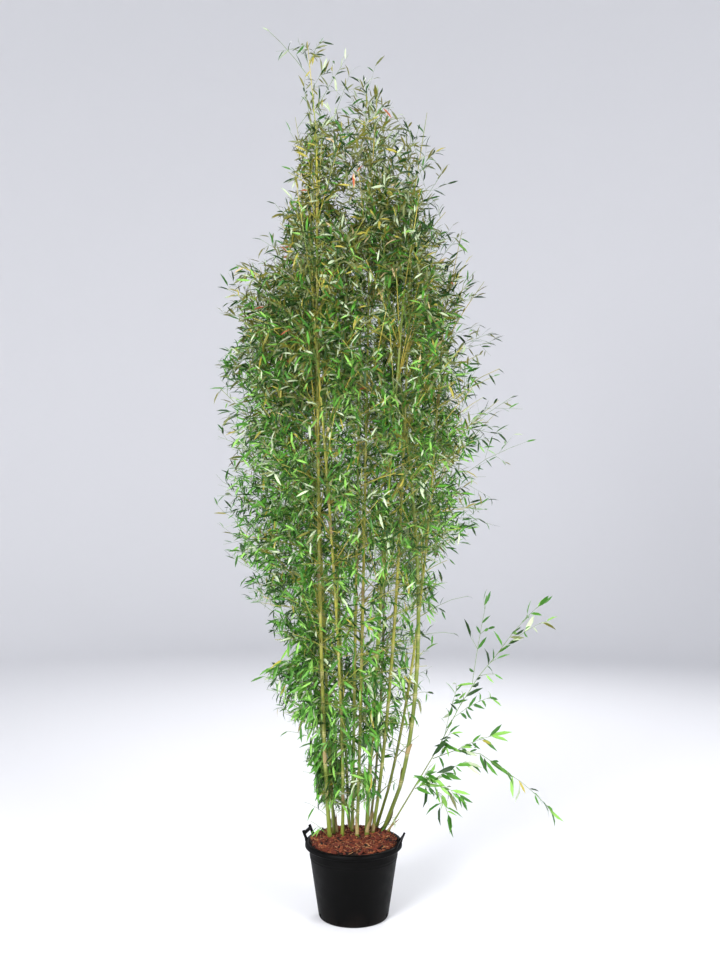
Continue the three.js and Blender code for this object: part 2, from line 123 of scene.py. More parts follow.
# Canes taper to half their width and bow most below their middle.
CULM = {"sides": 6, "taper": 0.5, "bow_power": 0.7, "taper_power": 1.3, "first_knot": 0.105,
        "knot_gap": 0.270, "ringed_knots": 2, "knot": 1.14, "collar": 0.011, "bare_tip": 0.160}
SCAR_GAP = CULM["knot_gap"] / 2
# Three loose sprays spring from the side shoot: where along it, the end, the arch.
SHOOT_SPRAYS = [
    (1.00, (0.670, 0.060, 1.170), 0.15),
    (0.86, (0.690, 0.000, 0.640), 0.40),
    (0.50, (0.380, -0.060, 0.590), 0.20),
]
# The crown's outline: level, reach to the left, reach to the right. From front to back it reaches less.
OUTLINE = np.array([
    (0.45, 0.17, 0.21), (0.63, 0.20, 0.25), (0.80, 0.23, 0.31), (0.95, 0.34, 0.35), (1.06, 0.44, 0.36),
    (1.19, 0.30, 0.39), (1.37, 0.38, 0.43), (1.55, 0.54, 0.45), (1.74, 0.60, 0.59), (1.92, 0.59, 0.65),
    (2.13, 0.62, 0.78), (2.38, 0.61, 0.81), (2.52, 0.61, 0.68), (2.65, 0.56, 0.65), (2.84, 0.64, 0.62),
    (2.95, 0.50, 0.59), (3.11, 0.43, 0.55), (3.22, 0.35, 0.50), (3.48, 0.30, 0.48), (3.58, 0.28, 0.34),
    (3.74, 0.27, 0.23), (3.88, 0.40, 0.15), (4.00, 0.42, 0.06),
])
CROWN = {"middle": 0.045, "depth": 0.88}
GOLDEN_ANGLE = math.radians(137.5)
# Each cane may carry two side stems, which rise and reach out towards the crown's edge.
SPRAYS = {"per_culm": 2, "lowest": 0.760, "highest": 2.720, "rise": (0.130, 0.360), "reach": 0.68,
          "arch": 0.2, "top_length": 0.430, "top_lean": 0.14}
STEM = {"radius": 0.0055, "root_span": 0.9, "steps": 3, "turns": (0, 0.2, -0.2, 0.4, -0.4)}
CLEARANCE = {"gap": 0.004, "sample": 0.010, "limb": 0.002, "leaf": 0.010}
OVERREACH = 0.140  # how far a limb may stray into the space of another mass

# ---- what grows on from the stems ----

SHOOT_MASSES = np.arange(len(CULMS), len(CULMS) + len(SHOOT_SPRAYS))
BRANCH = {"lowest": 0.42, "aside": (0.55, 1.20, 1.85), "stray": 0.35, "size": (0.5, 1.0), "root": 0.8,
          "steep": (0.45, 1.05), "steeper": (-0.55, 0.40), "arch": 0.08, "droop": 0.05, "steps": 4}
BRANCH_LEVELS = (0.4, 0.65, 0.85, 1.1, 1.6, 2.6, 3.3, 3.8)
BRANCH_LENGTHS = (0.22, 0.30, 0.56, 0.58, 0.66, 0.62, 0.40, 0.24)
# The limbs at the sides of others: how many, from where to where along the parent, how far they spread,
# and how long they are as a share of the parent.
Rule = namedtuple("Rule", "count first last spread share vary")
TWIGS = Rule(7, 0.18, 0.97, 0.80, 0.42, 0.40)
TOP_TWIGS = Rule(14, 0.05, 0.97, 0.65, 0.42, 0.35)
SPRIGS = Rule(4, 0.18, 0.96, 0.80, 0.55, 0.40)
SHOOT_TWIGS = Rule(3, 0.35, 0.90, 0.90, 0.16, 0.40)
LONE_SPRIGS = Rule(7, 0.30, 0.95, 0.80, 0.25, 0.30)
SIDE_LIMB = {"slip": 0.06, "flat_turn": 0.9, "stagger": 3, "spread": (0.7, 1.3), "last_spread": 0.4,
             "shorten": (1.15, 0.8), "droop": 0.04, "arch": 0.08}
LEAST = {"twig": 0.030, "sprig": 0.015}  # shorter ones are left off
HANG = {"below": 1.45, "over": 0.6, "droop": 0.20}  # the lowest foliage hangs
# Long single twigs: the mass that they spring from, where along its stem, and their tip.
STRAYS = [
    (0, 0.60, (-0.385, -0.20, 3.97)), (12, 1.00, (0.87, 0.05, 1.31)), (13, 1.00, (0.885, -0.01, 0.48)),
    (14, 1.00, (0.475, -0.09, 0.56)), (12, 0.95, (0.872, 0.055, 1.40)), (12, 0.55, (0.62, 0.12, 1.39)),
    (12, 0.25, (0.64, 0.10, 0.96)), (12, 0.10, (0.48, 0.10, 1.00)), (13, 0.35, (0.64, 0.05, 0.79)),
    (13, 0.10, (0.44, 0.00, 0.82)), (14, 0.60, (0.51, -0.05, 0.70)), (14, 0.80, (0.42, -0.10, 0.48)),
    (14, 0.30, (0.33, -0.02, 0.64)),
]
STRAY_ARCH = 0.10
# Lone twigs at the crown's edge: the cane that they spring from, at what level, and their tip.
LONE_TWIGS = [
    (0, 0.34, (-0.195, -0.02, 0.425)), (1, 0.345, (-0.165, -0.04, 0.405)),
    (11, 0.345, (0.205, 0.08, 0.415)), (10, 0.345, (0.19, 0.01, 0.40)), (5, 0.345, (0.01, -0.05, 0.43)),
    (0, 0.44, (-0.195, -0.03, 0.50)), (1, 0.58, (-0.23, 0.00, 0.64)), (2, 0.74, (-0.30, 0.01, 0.82)),
    (2, 0.93, (-0.42, 0.01, 1.07)), (2, 0.90, (-0.39, -0.06, 1.02)), (2, 1.15, (-0.46, 0.05, 1.42)),
    (2, 1.30, (-0.56, 0.03, 1.61)), (1, 1.35, (-0.55, -0.06, 1.72)), (2, 1.50, (-0.60, 0.00, 1.82)),
    (2, 1.65, (-0.61, 0.06, 1.96)), (2, 1.96, (-0.63, 0.05, 2.17)), (1, 2.55, (-0.60, 0.03, 2.86)),
    (1, 2.40, (-0.56, -0.06, 2.72)), (2, 2.20, (-0.60, 0.02, 2.50)), (1, 2.88, (-0.43, 0.00, 3.08)),
    (1, 2.98, (-0.37, 0.03, 3.26)), (0, 3.35, (-0.23, -0.09, 3.78)), (0, 3.30, (-0.04, -0.12, 3.74)),
    (0, 3.25, (-0.29, -0.06, 3.56)), (5, 3.20, (0.06, 0.06, 3.80)), (8, 3.10, (0.26, -0.06, 3.56)),
    (10, 2.90, (0.41, 0.05, 3.40)), (8, 2.70, (0.48, -0.05, 3.08)), (11, 2.00, (0.745, 0.03, 2.36)),
    (11, 1.85, (0.735, -0.03, 2.12)), (11, 1.33, (0.53, 0.06, 1.43)), (11, 1.24, (0.48, 0.10, 1.25)),
]
LONE_ARCH = 0.15

# ---- where the crown is open, and where it ends ----

OPEN_SIDE = {"x": 0.12, "top": 1.40, "kept": 0.45}  # fewer limbs grow low down at the right
# The share of the leaves kept at these levels.
THINNED = ((0.50, 0.80, 1.30, 1.80, 2.40, 2.80), (0.25, 0.48, 0.56, 0.68, 0.85, 0.95))
# Beyond these reaches to the left and the right the crown is loose, and few twigs are kept.
OPEN_EDGE = {
    "levels": (1.20, 1.60, 1.85, 2.20, 2.70, 3.00, 3.30), "fade": 0.11, "kept": 0.10,
    "right": (0.27, 0.34, 0.40, 0.42, 0.37, 0.32, 0.26),
    "left": (0.90, 0.90, 0.90, 0.90, 0.62, 0.27, 0.20),
}
# The foliage parts before these canes, so that they show at the crown's front up to near their tips.
SHOWN = {"canes": (0, 3, 6, 8, 10, 11), "aside": 0.024, "kept": 0.12, "tip": 0.30}
# The crown reaches further in some places than in others, by two waves of the level and the turn.
EDGE = {"limit": 0.99, "ragged": 0.17, "loose": 0.09, "waves": ((23, 2, 0), (11, -3, 1))}
FIT_TRIES = (1, 0.72, 0.5, 0.34)  # a limb without room is tried again at these shares of its length
BOX_MARGIN = (0.040, 0.030, 0.0)  # how far leaves may reach out beyond the solids

# ---- leaves ----

# Angles are in radians, lengths are shares of the middling leaf's, and widths are shares of the length.
LEAVES = {
    "spacing": (-0.10, 0.02), "fan": 0.75, "vary": 0.50, "roll": 2.2, "fall": (-0.30, 0.50), "hang": 0.4,
    "tilt": 1.3, "length": (0.60, 1.30), "hung_length": 0.25, "width": (0.13, 0.19), "bend": (0.10, 0.80),
    "hung_bend": 0.35, "fold": (0.10, 0.42), "over": 0.06,
}
SHOOT_LEAVES = {"larger": 1.30, "broader": 1.15, "hang": 0.6, "tilt": 0.6, "flat": 0.8}
LEAF_STATIONS = np.array([0.26, 0.64])  # along the blade
LEAF_WIDTHS = np.array([0.92, 0.88])    # the blade's width there, as a share of its full width
LEAF_VERTICES = 2 + 3 * len(LEAF_STATIONS)
OUTER_PART, MIDRIB = 4, 5  # the first vertex at the second station, and the one on its midrib
# The leaves' colours, how matt they are, and how often each comes up low, half-way and high in the crown.
# High up, the dark and olive colours come up more often and the fresh greens less often: partly the
# leaves' own tone, partly painted shade, as less light reaches the top.
LEAF_LEVELS = (0.7, 1.9, 3.2)
LEAF_COLOURS = [
    # A very dark green: partly the leaves' own deep green, partly painted shade for leaves deep in the
    # crown.
    ("deep_green", "#1b3a0e", 0.46, (0.14, 0.25, 0.23)),
    ("mid_green", "#33661b", 0.44, (0.32, 0.24, 0.06)),
    ("leaf_green", "#4f872b", 0.44, (0.27, 0.18, 0.02)),
    ("fresh_green", "#7db04d", 0.42, (0.18, 0.13, 0.01)),
    # Pale whitish leaves: painted highlight, standing in for glints of light on the glossy blades.
    ("silver_green", "#adbb98", 0.38, (0.06, 0.08, 0.10)),
    ("grey_olive", "#697045", 0.44, (0.01, 0.05, 0.27)),
    ("olive_green", "#61611f", 0.46, (0.00, 0.035, 0.23)),
    ("yellow_green", "#9f963f", 0.46, (0.01, 0.020, 0.05)),
    ("straw", "#b9a57a", 0.60, (0.00, 0.003, 0.012)),
    ("rust", "#a5583a", 0.60, (0.00, 0.000, 0.003)),
]
ODD_COLOURED = 0.45      # the share of leaves that draw a colour of their own
MOST_TRIANGLES = 199000  # in one piece
# The limbs' radii at root and tip, and how many sides they have.
LIMB_SIZES = {
    "stems": (0.0028, 0.0010, 6), "shoot_stems": (0.0020, 0.0011, 6), "strays": (0.0012, 0.0007, 5),
    "branches": (0.0026, 0.0011, 5), "twigs": (0.0011, 0.0006, 4), "shoot_twigs": (0.0012, 0.0006, 4),
    "sprigs": (0.0006, 0.0004, 3),
}

# ---- the relief of the canes and their sheaths ----

CANE_SIDES = 18
# At a knot, a sheath's scar, a groove and a ridge: the step up, how far it stands out, and how pale it is.
KNOT_RELIEF = [
    (-0.030, 0, 0), (-0.012, 0.10, 0.35), (-0.0045, 0.35, 0.75), (-0.0030, 1.0, 0.2), (-0.0012, 1.0, 0),
    (-0.0004, 0.25, 0), (0.0018, 0.6, 0.9), (0.0038, 0.95, 0.6), (0.0070, 0.45, 0.25), (0.016, 0.08, 0),
    (0.045, 0, 0), (0.068, 0, 0), (0.090, 0, 0),
]
FOOT_RELIEF = [(-0.014, 0.35, 0), (0.020, 0.10, 0)]  # the foot swells, from below the bark's level
CANE_END = 0.002  # no ring of relief lies nearer to the tip
# Dry sheaths narrow to a point and stand off their cane there.
SHEATH = {"rows": 7, "columns": 8, "height": (0.045, 0.11), "wrap": (2.4, 4.6), "flare": (0.002, 0.012),
          "off": 0.0012, "narrow": 1.6, "hug": 0.999, "twist": 0.001, "lowest": 0.002, "at_foot": 0.95,
          "at_knot": 0.3, "bare_tip": 0.3}

# ---- the studio ----

SWEEP = {"floor": 9, "curve": 3, "steps": 8, "wall": 14, "sides": 96}
LIT = (0, 0, 1.9)  # where the lights aim
ROOM = {"Color": (0.93, 0.96, 1.0), "Strength": 0.68}
CAMERA = {"place": (0.029, -4.6, 1.80), "tilt": 2.06, "lens": 37.6, "sensor_width": 36, "clip_end": 100}


# ---- small helpers ----

def vec(*numbers):
    return np.array(numbers, float)


def lerp(low, high, share):
    return low + (high - low) * share


def unit(vectors):
    return vectors / np.linalg.norm(vectors, axis=-1, keepdims=True)


def column(values):
    return np.asarray(values)[..., None]


def heading(start, end):
    return math.atan2(end[1] - start[1], end[0] - start[0])


def level_across(along):
    """The level direction square to each direction."""
    across = np.stack([-along[..., 1], along[..., 0], np.zeros(along.shape[:-1])], axis=-1)
    across[np.linalg.norm(across, axis=-1) < 1e-6] = (0, 1, 0)
    return unit(across)


def swung(along, square, angle):
    return along * column(np.cos(angle)) + square * column(np.sin(angle))


def turned(vectors, axes, angle):
    """Vectors square to their axes, turned about them."""
    return swung(vectors, np.cross(axes, vectors), angle)


def arched(start, end, arch, steps):
    """Routes of straight steps that rise and then hang over on their way: (count, steps + 1, 3)."""
    middle = (start + end) / 2
    middle[..., 2] += arch * np.linalg.norm(end - start, axis=-1)
    t = np.linspace(0, 1, steps + 1)[:, None]
    parts = [p[..., None, :] for p in (start, middle, end)]
    return (1 - t) ** 2 * parts[0] + 2 * t * (1 - t) * parts[1] + t ** 2 * parts[2]


def along_route(routes, place):
    """The points and directions at a place, from 0 to 1, along each route."""
    steps = routes.shape[1] - 1
    place = np.broadcast_to(place, len(routes))
    step = np.minimum((place * steps).astype(int), steps - 1)
    rows = np.arange(len(routes))
    low, high = routes[rows, step], routes[rows, step + 1]
    return low + (high - low) * column(place * steps - step), unit(high - low)


def way_to_lines(points, starts, ends):
    """How far each of (n, 3) points lies from each of m straight lines: (n, m)."""
    spans = ends - starts
    offsets = points[:, None, :] - starts[None]
    share = np.clip((offsets * spans).sum(-1) / np.maximum((spans ** 2).sum(-1), 1e-12), 0, 1)
    return np.linalg.norm(offsets - share[..., None] * spans, axis=-1)


# ---- the canes' lines ----

def culm_place(culm, level):
    return np.clip((level - FOOT_LEVEL) / (culm.tip[2] - FOOT_LEVEL), 0, 1)


def culm_centre(culm, level):
    level = np.asarray(level, float)
    t = culm_place(culm, level)
    swing = np.sin(np.pi * t ** CULM["bow_power"])
    flat = [lerp(culm.foot[i], culm.tip[i], t) + culm.bow[i] * swing for i in (0, 1)]
    return np.stack([*flat, level], axis=-1)


def culm_radius(culm, level):
    return culm.radius * (1 - CULM["taper"] * culm_place(culm, level) ** CULM["taper_power"])


def knot_levels(culm):
    first = FOOT_LEVEL + CULM["first_knot"] + abs(culm.foot[0])
    return np.arange(first, culm.tip[2] - CULM["bare_tip"], CULM["knot_gap"])


def scar_levels(culm):
    """The knots that show. There is one half-way between each two swollen ones, too."""
    knots = knot_levels(culm)
    return np.arange(knots[0], culm.tip[2] - SCAR_GAP, SCAR_GAP) if len(knots) else knots


def culm_rings(culm):
    """The level rings of a cane from foot to tip: centres and radii."""
    rings = [(FOOT_LEVEL, 1)]
    for index, level in enumerate(knot_levels(culm)):
        if index < CULM["ringed_knots"]:
            rings += [(level - CULM["collar"], 1), (level, CULM["knot"]), (level + CULM["collar"], 1)]
        else:
            rings.append((level, 1))
    levels, swells = vec(*rings, (culm.tip[2], 1)).T
    return culm_centre(culm, levels), culm_radius(culm, levels) * swells


# ---- the crown's outline and each mass's own space ----

def crown_section(level):
    left, right = (np.interp(level, OUTLINE[:, 0], OUTLINE[:, i]) for i in (1, 2))
    return (right - left) / 2, (right + left) / 2


def crown_depth(points):
    """How far out each point lies: below 1 inside the crown's outline."""
    middle, half = crown_section(points[..., 2])
    across = (points[..., 0] - middle) / half
    deep = (points[..., 1] - CROWN["middle"]) / (half * CROWN["depth"])
    outside = (points[..., 2] < OUTLINE[0, 0]) | (points[..., 2] > OUTLINE[-1, 0])
    return np.where(outside, 9, np.hypot(across, deep))


class Standing:
    """Straight stretches of cane and stem that a new stem keeps clear of."""

    def __init__(self):
        self.starts, self.ends, self.radii = np.empty((0, 3)), np.empty((0, 3)), np.empty(0)

    def stand(self, route, radius):
        self.starts = np.vstack([self.starts, route[:-1]])
        self.ends = np.vstack([self.ends, route[1:]])
        self.radii = np.append(self.radii, np.full(len(route) - 1, radius))

    def is_clear(self, route, radius):
        samples = []
        for start, end in zip(route, route[1:]):
            count = math.ceil(np.linalg.norm(end - start) / CLEARANCE["sample"])
            samples.append(start + (end - start) * np.linspace(0, 1, count + 1)[:, None])
        way = way_to_lines(np.vstack(samples), self.starts, self.ends)
        return bool((way > radius + self.radii + CLEARANCE["gap"]).all())


# ---- the stems, where the solids have them ----

def root_on(culm, level, azimuth):
    """Where a stem meets its cane: on the nearest flat of its side, a seat's width clear of it."""
    flat = 2 * math.pi / CULM["sides"]
    facing = math.floor(azimuth / flat + 0.5) * flat
    normal = vec(math.cos(facing), math.sin(facing), 0)
    centres, radii = culm_rings(culm)

    def surface_at(height):
        above = int(np.argmax(centres[:, 2] > height))
        low, high = centres[above - 1], centres[above]
        t = (height - low[2]) / (high[2] - low[2])
        return lerp(low, high, t) @ normal + lerp(radii[above - 1], radii[above], t) * math.cos(flat / 2)

    span = STEM["radius"] * STEM["root_span"]
    out = max(surface_at(level + step) for step in (-span, 0, span)) + SEAT
    centre = culm_centre(culm, level)
    return centre + normal * (out - centre @ normal)


def side_stem(culm, level, azimuth):
    up = (level - SPRAYS["lowest"]) / (SPRAYS["highest"] - SPRAYS["lowest"])
    end_level = level + lerp(*SPRAYS["rise"], up)
    middle, half = crown_section(end_level)
    reach = half * SPRAYS["reach"]
    deep = CROWN["middle"] + reach * CROWN["depth"] * math.sin(azimuth)
    end = vec(middle + reach * math.cos(azimuth), deep, end_level)
    root = root_on(culm, level, heading(culm_centre(culm, level), end))
    return arched(root, end, SPRAYS["arch"], STEM["steps"])


def top_stem(culm):
    tip = culm_centre(culm, culm.tip[2])
    along = unit(tip - culm_centre(culm, culm.tip[2] - CULM["knot_gap"]))
    outward = unit(vec(tip[0], tip[1] - CROWN["middle"], 0)) * SPRAYS["top_lean"]
    start = tip + vec(0, 0, SEAT)
    return arched(start, start + (along + outward) * SPRAYS["top_length"], 0, STEM["steps"])


def shoot_stem(at, end, arch):
    level = lerp(FOOT_LEVEL, SHOOT.tip[2], at)
    centre = culm_centre(SHOOT, level)
    root = centre + vec(0, 0, SEAT) if at == 1 else root_on(SHOOT, level, heading(centre, end))
    return arched(root, vec(*end), arch, STEM["steps"])


def find_stem(standing, candidates, wanted, azimuth):
    for index in candidates:
        knots = knot_levels(CULMS[index])
        level = knots[np.argmin(abs(knots - wanted))]
        for turn in STEM["turns"]:
            stem = side_stem(CULMS[index], level, azimuth + turn)
            if standing.is_clear(stem[1:], STEM["radius"]):
                return index, stem
    return None


def lay_out_stems():
    """The stems of all the masses of foliage: the tops, the side shoot's three and then the sides."""
    standing = Standing()
    for culm in [*CULMS, SHOOT]:
        standing.stand(culm_rings(culm)[0], culm.radius * CULM["knot"])
    stems = [top_stem(culm) for culm in CULMS] + [shoot_stem(*spray) for spray in SHOOT_SPRAYS]
    for stem in stems:
        standing.stand(stem, STEM["radius"])
    carried = [0] * len(CULMS)
    count = len(CULMS) * SPRAYS["per_culm"]
    for i in range(count):
        wanted = lerp(SPRAYS["lowest"], SPRAYS["highest"], i / (count - 1))
        azimuth = i * GOLDEN_ANGLE
        outward = vec(math.cos(azimuth), math.sin(azimuth), 0)
        free = [k for k in range(len(CULMS)) if carried[k] < SPRAYS["per_culm"]]
        free.sort(key=lambda k: -(culm_centre(CULMS[k], wanted) @ outward))
        found = find_stem(standing, free, wanted, azimuth)
        if found:
            carried[found[0]] += 1
            standing.stand(found[1], STEM["radius"])
            stems.append(found[1])
    return np.array(stems)


# ---- room for limbs and leaves ----

def edge_limit(points, random):
    """How far out limbs and leaves may reach at each point, as a share of the crown's outline."""
    turn = np.arctan2(points[:, 1] - CROWN["middle"], points[:, 0])
    level = points[:, 2]
    waves = [np.sin(rise * level + turns * turn + shift) for rise, turns, shift in EDGE["waves"]]
    loose = random.uniform(-EDGE["loose"], EDGE["loose"], len(points))
    return EDGE["limit"] + EDGE["ragged"] * waves[0] * waves[1] + loose


def way_to_masses(points, stems):
    """How far each point lies from the stem of each mass: (points, masses)."""
    way = way_to_lines(points, stems[:, :-1].reshape(-1, 3), stems[:, 1:].reshape(-1, 3))
    return way.reshape(len(points), len(stems), -1).min(axis=2)


def nearest_mass(points, stems):
    """The mass that each point belongs to, other than the side shoot's."""
    way = way_to_masses(points, stems)
    way[:, SHOOT_MASSES] = np.inf
    return way.argmin(axis=1)


def in_own_space(points, spray, stems):
    way = way_to_masses(points, stems)
    rows = np.arange(len(points))
    own = way[rows, spray]
    way[rows, spray] = np.inf
    return way.min(axis=1) > own - OVERREACH


def clear_of_culms(points, margin):
    """For (n, k, 3) points, whether all k of each keep this far from every cane's skin."""
    clear = np.ones(len(points), bool)
    level = points[..., 2]
    for culm in [*CULMS, SHOOT]:
        way = np.linalg.norm((points - culm_centre(culm, level))[..., :2], axis=-1)
        touching = (way < culm_radius(culm, level) + margin) & (level < culm.tip[2])
        clear &= ~touching.any(axis=1)
    return clear


def before_shown_canes(points):
    hidden = np.zeros(len(points), bool)
    for culm in (CULMS[index] for index in SHOWN["canes"]):
        centre = culm_centre(culm, points[:, 2])
        close = np.abs(points[:, 0] - centre[:, 0]) < SHOWN["aside"]
        hidden |= close & (points[:, 1] < centre[:, 1]) & (points[:, 2] < culm.tip[2] - SHOWN["tip"])
    return hidden


def is_loose(spray):
    """The side shoot's sprays hang out freely, beyond the crown's outline."""
    return np.isin(spray, SHOOT_MASSES)


def in_box(points):
    """Twigs and leaves may reach a little further out than the solids do."""
    low, high = (np.array(corner) for corner in CAD_BOX)
    return ((points > low - BOX_MARGIN) & (points < high + BOX_MARGIN)).all(axis=-1)


def low_share(level):
    """1 in the lowest foliage, which hangs, and 0 in the high foliage."""
    return np.clip((HANG["below"] - level) / HANG["over"], 0, 1)


# ---- growing on from the stems: branches, twigs and sprigs ----

Limbs = namedtuple("Limbs", "routes spray")  # a route for each limb, and the mass that it belongs to


def joined_limbs(*groups):
    return Limbs(np.vstack([group.routes for group in groups]), np.concatenate([g.spray for g in groups]))


def some_limbs(limbs, chosen):
    return Limbs(limbs.routes[chosen], limbs.spray[chosen])


def longer_than(limbs, least):
    return some_limbs(limbs, np.linalg.norm(limbs.routes[:, -1] - limbs.routes[:, 0], axis=1) > least)


def fitted(starts, directions, lengths, spray, droop, arch, steps, stems, random):
    """Limbs as long as there is room for. One that finds no room even when short isn't kept."""
    routes = np.zeros((len(starts), steps + 1, 3))
    kept = np.zeros(len(starts), bool)
    low_right = (starts[:, 0] > OPEN_SIDE["x"]) & (starts[:, 2] < OPEN_SIDE["top"]) & ~is_loose(spray)
    spared = low_right & (random.uniform(0, 1, len(starts)) > OPEN_SIDE["kept"])
    droop = droop + HANG["droop"] * low_share(starts[:, 2])
    for share in FIT_TRIES:
        ends = starts + directions * column(lengths * share)
        ends[:, 2] -= droop * lengths * share
        tried = arched(starts, ends, arch, steps)
        inside = is_loose(spray) | (crown_depth(ends) < edge_limit(ends, random))
        fits = inside & in_box(ends) & in_own_space(ends, spray, stems) & ~spared
        fits &= clear_of_culms(tried[:, 1:], CLEARANCE["limb"]) & ~kept
        routes[fits] = tried[fits]
        kept |= fits
    return Limbs(routes[kept], spray[kept])


def branch_out(stems, random):
    """Each knot has three branches, by turns on one side of its cane and the other, and its outer face is
    bare. They are longest half-way up the crown, and steepest at its top."""
    starts, directions, lengths = [], [], []
    for index, culm in enumerate(CULMS):
        levels = scar_levels(culm)
        for knot, level in enumerate(levels[levels > BRANCH["lowest"]]):
            centre = culm_centre(culm, level)
            up = (level - BRANCH["lowest"]) / (culm.tip[2] - BRANCH["lowest"])
            outward = heading((crown_section(level)[0], CROWN["middle"]), centre)
            side = 1 if (knot + index) % 2 else -1
            for aside in BRANCH["aside"]:
                azimuth = outward + side * (aside + random.uniform(-BRANCH["stray"], BRANCH["stray"]))
                away = vec(math.cos(azimuth), math.sin(azimuth), 0)
                steep = lerp(*BRANCH["steep"], up) + random.uniform(*BRANCH["steeper"])
                starts.append(centre + away * culm_radius(culm, level) * BRANCH["root"])
                directions.append(away * math.cos(steep) + vec(0, 0, math.sin(steep)))
                size = random.uniform(*BRANCH["size"])
                lengths.append(np.interp(level, BRANCH_LEVELS, BRANCH_LENGTHS) * size)
    starts, directions, lengths = map(np.array, (starts, directions, lengths))
    spray = nearest_mass(starts + directions * column(lengths), stems)
    return fitted(starts, directions, lengths, spray, BRANCH["droop"], BRANCH["arch"], BRANCH["steps"],
                  stems, random)


def stray_twigs(stems):
    """Long single twigs, some of which carry the side shoot's stems on to its furthest tips."""
    masses, places, ends = (np.array(values) for values in zip(*STRAYS))
    starts = along_route(stems[masses], places)[0]
    return Limbs(arched(starts, ends, STRAY_ARCH, STEM["steps"]), masses)


def lone_twigs(stems):
    starts = np.array([culm_centre(CULMS[cane], level) for cane, level, _ in LONE_TWIGS])
    ends = np.array([end for *_, end in LONE_TWIGS])
    return Limbs(arched(starts, ends, LONE_ARCH, STEM["steps"]), nearest_mass(ends, stems))


def sprout(parents, rule, random, stems, steps=STEM["steps"], flat=False):
    """Side limbs in turn along each parent. A flat spray has them to one side and the other."""
    children = []
    count = len(parents.routes)
    for turn in range(rule.count):
        place = lerp(rule.first, rule.last, turn / (rule.count - 1))
        place = np.clip(place + random.uniform(-SIDE_LIMB["slip"], SIDE_LIMB["slip"], count), 0, 1)
        starts, along = along_route(parents.routes, place)
        if flat:
            angle = math.pi * turn + random.uniform(-SIDE_LIMB["flat_turn"], SIDE_LIMB["flat_turn"], count)
        else:
            angle = (np.arange(count) * SIDE_LIMB["stagger"] + turn) * GOLDEN_ANGLE
        square = turned(level_across(along), along, angle)
        spread = rule.spread * random.uniform(*SIDE_LIMB["spread"], count)
        spread *= SIDE_LIMB["last_spread"] if turn == rule.count - 1 else 1
        whole = np.linalg.norm(parents.routes[:, -1] - parents.routes[:, 0], axis=1)
        vary = random.uniform(1 - rule.vary, 1 + rule.vary, count)
        lengths = whole * rule.share * vary * lerp(*SIDE_LIMB["shorten"], place)
        children.append(fitted(starts, swung(along, square, spread), lengths, parents.spray,
                               SIDE_LIMB["droop"], SIDE_LIMB["arch"], steps, stems, random))
    return joined_limbs(*children)


def thinned_edge(limbs, random):
    ends = limbs.routes[:, -1]
    right = ends[:, 0] - np.interp(ends[:, 2], OPEN_EDGE["levels"], OPEN_EDGE["right"])
    left = -ends[:, 0] - np.interp(ends[:, 2], OPEN_EDGE["levels"], OPEN_EDGE["left"])
    beyond = np.clip(np.maximum(left, right) / OPEN_EDGE["fade"], 0, 1)
    return some_limbs(limbs, random.uniform(0, 1, len(ends)) < lerp(1, OPEN_EDGE["kept"], beyond))


def grow_limbs(random):
    """All the limbs: those to model, by name, and those with leaves, with how many at the end of each and
    whether they may reach beyond the crown."""
    routes = lay_out_stems()
    stems = Limbs(routes, np.arange(len(routes)))
    loose = is_loose(stems.spray)
    tops = stems.spray < len(CULMS)
    shoot_stems = some_limbs(stems, loose)
    strays, lone = stray_twigs(routes), lone_twigs(routes)
    branches = branch_out(routes, random)
    twigs = joined_limbs(sprout(some_limbs(stems, tops), TOP_TWIGS, random, routes),
                         sprout(some_limbs(stems, ~tops & ~loose), TWIGS, random, routes),
                         sprout(branches, TWIGS, random, routes))
    twigs = thinned_edge(longer_than(twigs, LEAST["twig"]), random)
    sprigs = longer_than(sprout(twigs, SPRIGS, random, routes, steps=1), LEAST["sprig"])
    sprigs = joined_limbs(sprigs, sprout(lone, LONE_SPRIGS, random, routes, steps=1))
    shoot_twigs = sprout(joined_limbs(shoot_stems, strays), SHOOT_TWIGS, random, routes, flat=True)
    modelled = {
        "stems": some_limbs(stems, ~loose), "shoot_stems": shoot_stems,
        "strays": joined_limbs(strays, lone), "branches": branches, "twigs": twigs,
        "shoot_twigs": shoot_twigs, "sprigs": sprigs,
    }
    leafy = [(stems, 10, False), (branches, 6, False), (twigs, 5, False), (sprigs, 4, False),
             (strays, 5, True), (lone, 4, True), (shoot_twigs, 2, True)]
    return modelled, leafy


# ---- leaves ----

def leaf_faces():
    """The faces of one leaf: a vertex at its root and its tip, and three across at each station."""
    rows = np.arange(1, LEAF_VERTICES - 1).reshape(-1, 3)
    first, last, tip = rows[0], rows[-1], LEAF_VERTICES - 1
    faces = [(0, first[1], first[0]), (0, first[2], first[1])]
    for low, high in zip(rows, rows[1:]):
        for k in (0, 1):
            faces += [(low[k], low[k + 1], high[k + 1]), (low[k], high[k + 1], high[k])]
    return np.array([*faces, (last[0], last[1], tip), (last[1], last[2], tip)])


def leaf_points(starts, along, across, lengths, widths, bend, fold):
    """All the vertices of many leaves. Each blade bends down along its length and is folded along its
    midrib."""
    normal = np.cross(along, across)

    def station(place, side):
        turn = bend * place
        half = side * widths / 2
        lift = np.abs(half) * fold
        reach = lengths * np.sin(turn) / bend + lift * np.sin(turn)
        rise = lift * np.cos(turn) - lengths * (1 - np.cos(turn)) / bend
        return starts + along * column(reach) + across * column(half) + normal * column(rise)

    between = [station(place, side * width) for place, width in zip(LEAF_STATIONS, LEAF_WIDTHS)
               for side in (-1, 0, 1)]
    return np.stack([station(0, 0), *between, station(1, 0)], axis=1)


